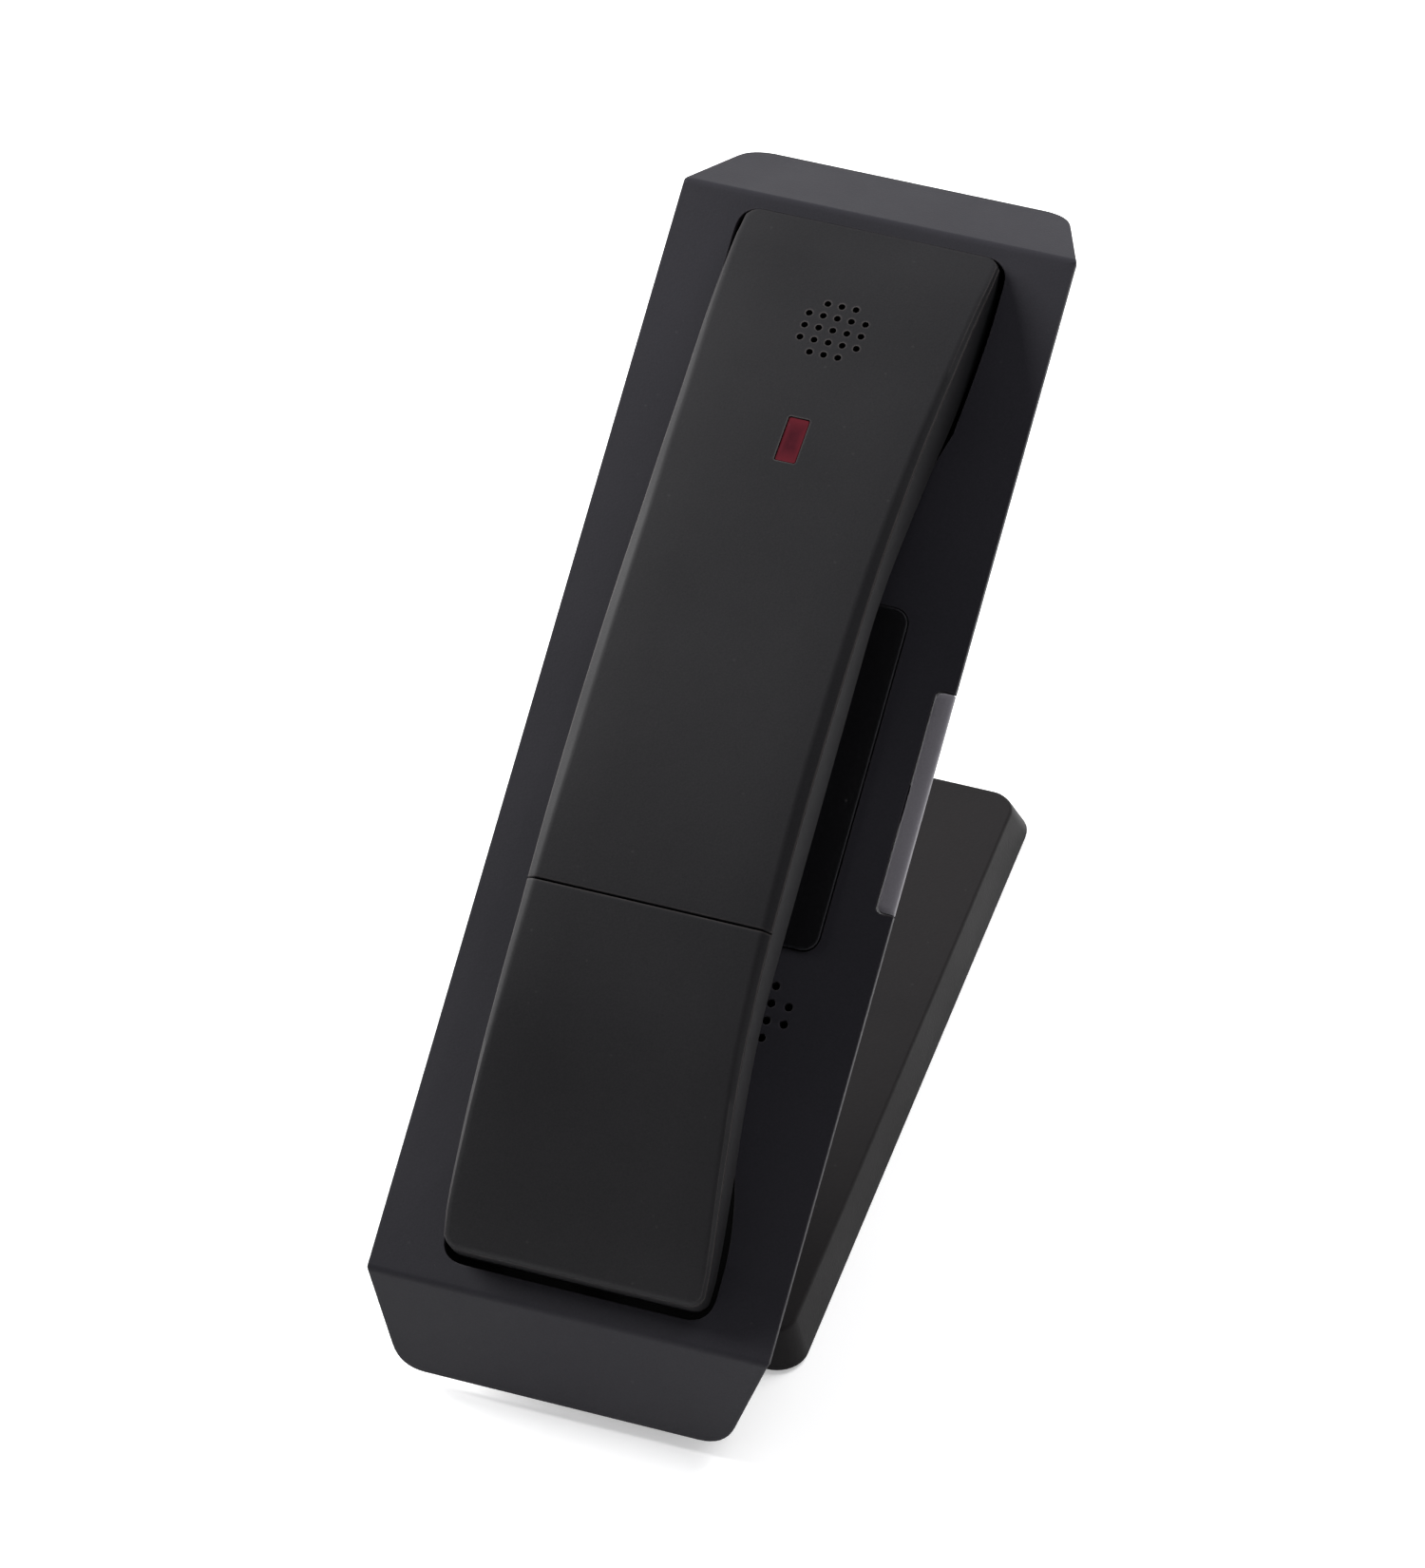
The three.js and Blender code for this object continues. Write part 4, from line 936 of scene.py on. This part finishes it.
def make_foot():
    """The bevelled slab and its two hinge knuckles."""
    profile = ((0.5, 0.4), (0.1, 0.55), (0.02, 1.0), (2.55, 7.35), (2.8, 7.8), (3.25, 8.0))
    rings = []
    for inset, z in profile:
        width, length = (half - inset for half in FOOT_HALF)
        outline = rounded_rect(-width, width, -length, length, FOOT_CORNER - inset * 0.4, 10)
        rings.append([(x, y, z) for x, y in outline])
    slab = skin(rings, ON_TABLE)
    knuckles = []
    for side in (-1, 1):
        inner, outer = sorted(side * end for end in KNUCKLE)
        turn = ON_TABLE @ Matrix.Translation(HINGE_AT) @ Matrix.Rotation(math.pi / 2, 4, "Y")
        radius, edge = KNUCKLE_RADIUS, 0.4
        barrel = [(0, inner), (radius - edge, inner), (radius, inner + edge), (radius, outer - edge),
                  (radius - edge, outer), (0, outer)]
        knuckles.append(lathe(barrel, turn, 40))
        web = [(inner + 0.2, -72.6), (outer - 0.2, -72.6), (outer - 0.2, -67.2), (inner + 0.2, -67.2)]
        flare = [[(x + (0.7 if x > (inner + outer) / 2 else -0.7), y + (0.8 if y > -70 else -0.8), 7.9)
                  for x, y in web],
                 [(x, y, 8.8) for x, y in web], [(x, y, 13.2) for x, y in web]]
        knuckles.append(skin(flare, ON_TABLE))
    even_light(piece("foot_slab", merged(slab, *knuckles), "foot", FOOT_SHELL,
                     ["foot_shell"], 40))


# ---------------------------------------------------------------- screws

def screw(name, node_name, body, head, length):
    """A pan-head screw with a cross recess, driven in along the plate's normal."""
    low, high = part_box(node_name)
    middle = (low + high) / 2
    square = Matrix.Rotation(TILT, 4, "X") if body != "foot" else Matrix.Identity(4)
    place = Matrix.Translation(middle) @ square @ MILLIMETRES @ Matrix.Translation((0, 0, -length / 2))
    profile = [(0, 0), (head * 0.62, 0.03), (head * 0.86, 0.22), (head, 0.62), (head, 0.9), (1.1, 0.98),
               (1.1, length), (0, length)]
    blades = [prism([(-w, -d), (w, -d), (w, d), (-w, d)], -1, 0.7, place)
              for w, d in ((head * 0.5, 0.26), (0.26, head * 0.5))]
    piece(name, carved(lathe(profile, place, 28), *blades), body, ZINC, [node_name])


def make_screws():
    """Every screw of the telephone, with its head's radius and its length."""
    for k in range(1, 5):
        screw(f"housing_pan_screw_{k}", f"housing_screw_{k}", "base", 2.55, 8.9)
    for k in range(1, 3):
        screw(f"handset_pan_screw_{k}", f"handset_screw_{k}", "handset", 2.15, 7.6)
    for side in ("left", "right"):
        screw(f"ballast_pan_screw_{side}", f"ballast_screw_{side}", "foot", 2.45, 4.7)


# ---------------------------------------------------------------- pieces carried over from the frame

CARRIED = {
    CHARCOAL_SHELL: {"rear_housing": 0.5},
    CRADLE_BLACK: {"upper_cradle": 0.35, "lower_cradle": 0.35, "base_speaker": 0.15, "ringer": 0.15},
    MOULDED_BLACK: {"line_socket": 0.25, "power_socket": 0.2, "key_switch": 0.15},
    PANEL_GLOSS: {"handset_display": 0.2},
    SOLE_RUBBER: {"foot_sole": 0.3, "keypad_mat": 0.15},
    BOARD_GREEN: {"base_board": 0.08, "handset_board": 0.08, "receiver_board": 0.08},
    CELL_WRAP: {"battery_pack": 0.7},
    RED_WINDOW: {"indicator_lamp": 0.08},
    ZINC: {"hinge_pin": 0.4, "display_module": 0.2, "ballast_plate": 0.2, "earpiece": 0.2, "microphone": 0.2},
    GILT: {"charge_contact_left": 0.1, "charge_contact_right": 0.1, "strip_antenna": 0.08,
           "battery_contact_left": 0.08, "battery_contact_right": 0.08, "charge_stud_left": 0.1,
           "charge_stud_right": 0.1},
}


def dress_carried():
    """Finishes the inner pieces on their own solids, each with its edges softened by its own width."""
    for material, nodes in CARRIED.items():
        for name, width in nodes.items():
            obj = frame["nodes"][name]
            obj.data.materials.clear()
            obj.data.materials.append(material)
            weld = obj.modifiers.new("weld", "WELD")
            weld.merge_threshold = 0.00001
            flats = obj.modifiers.new("flats", "DECIMATE")
            flats.decimate_type = "DISSOLVE"
            flats.angle_limit = math.radians(0.6)
            soften_edges(obj, width / 1000)


# ---------------------------------------------------------------- studio

def make_camera():
    """A long lens from the front, to the right and above."""
    azimuth, elevation = math.radians(18.04), math.radians(44.76)
    right = Vector((math.cos(azimuth), math.sin(azimuth), 0))
    back = Vector((math.sin(azimuth) * math.cos(elevation), -math.cos(azimuth) * math.cos(elevation),
                   math.sin(elevation)))
    up = back.cross(right)
    lens = bpy.data.cameras.new("camera")
    lens.lens = 188.79
    lens.sensor_width = 36
    lens.clip_start, lens.clip_end = 0.05, 20
    camera = bpy.data.objects.new("camera", lens)
    bpy.context.scene.collection.objects.link(camera)
    aside, above, away = 0.0262, 0.09526, 1.47204
    spot = LOWER_FOLD + right * aside + up * above + back * away
    turn = Matrix((right, up, back)).transposed().to_4x4()
    camera.matrix_world = Matrix.Translation(spot) @ turn
    bpy.context.scene.camera = camera


def softbox(name, spot, power):
    """A square soft light, aimed at the middle of the telephone."""
    light = bpy.data.lights.new(name, "AREA")
    light.size = 0.7
    light.energy = power
    obj = bpy.data.objects.new(name, light)
    bpy.context.scene.collection.objects.link(obj)
    obj.location = spot
    obj.rotation_euler = (Vector((0, 0, 0.05)) - Vector(spot)).to_track_quat("-Z", "Y").to_euler()
    return obj


def make_floor():
    """A pale sheet of paper that glows a little, so that shadows stay light on it."""
    bm = bmesh.new()
    bmesh.ops.create_grid(bm, x_segments=8, y_segments=8, size=3)
    mesh = bpy.data.meshes.new("floor")
    bm.to_mesh(mesh)
    bm.free()
    floor = bpy.data.objects.new("floor", mesh)
    bpy.context.scene.collection.objects.link(floor)
    paper = bpy.data.materials.new("paper")
    paper.use_nodes = True
    tree = paper.node_tree
    shader = tree.nodes["Principled BSDF"]
    shader.inputs["Specular IOR Level"].default_value = 0.1
    shader.inputs["Roughness"].default_value = 0.9
    shader.inputs["Emission Color"].default_value = opaque(1, 1, 1)
    shader.inputs["Emission Strength"].default_value = 0.4
    cloud = placed(tree, MOTTLE, Colour=opaque(0.91, 0.91, 0.91), Other_Colour=opaque(0.93, 0.93, 0.93))
    tree.links.new(cloud.outputs["Colour"], shader.inputs["Base Color"])
    mesh.materials.append(paper)


def make_surroundings():
    """The room: bright behind the telephone and on its left, dim overhead, in front and on its right."""
    world = bpy.data.worlds.new("studio")
    bpy.context.scene.world = world
    world.use_nodes = True
    tree = world.node_tree
    way = tree.nodes.new("ShaderNodeTexCoord")
    parts = tree.nodes.new("ShaderNodeSeparateXYZ")
    tree.links.new(way.outputs["Generated"], parts.inputs[0])

    def ramp(socket, low, high):
        span = node(tree, "ShaderNodeMapRange", interpolation_type="SMOOTHSTEP")
        span.inputs["From Min"].default_value = low
        span.inputs["From Max"].default_value = high
        tree.links.new(socket, span.inputs["Value"])
        return span.outputs[0]

    leaning = maths(tree, "SUBTRACT", parts.outputs["Y"], maths(tree, "MULTIPLY", parts.outputs["X"], 0.8))
    walls = blend_colours(tree, ramp(leaning, -0.7, 0.9), opaque(0.10, 0.10, 0.11), opaque(1, 1, 1))
    room = blend_colours(tree, ramp(parts.outputs["Z"], 0.1, 0.8), walls, opaque(0.26, 0.26, 0.27))
    tree.links.new(room, tree.nodes["Background"].inputs["Color"])


def make_studio():
    """A floor, a room and two lights. Gloss mirrors the left light and not the one overhead."""
    make_floor()
    make_surroundings()
    softbox("main softbox", (-1.2, 0.22, 0.78), 38)
    overhead = softbox("overhead softbox", (0.4, 0.75, 1.0), 12)
    overhead.visible_glossy = False


make_camera()
make_studio()
make_faceplate()
make_panel()
make_side_key()
make_back_cover()
make_battery_cover()
make_front_shell()
make_window()
make_keypad()
make_foot()
make_screws()
dress_carried()

bpy.context.scene.view_settings.view_transform = "Standard"
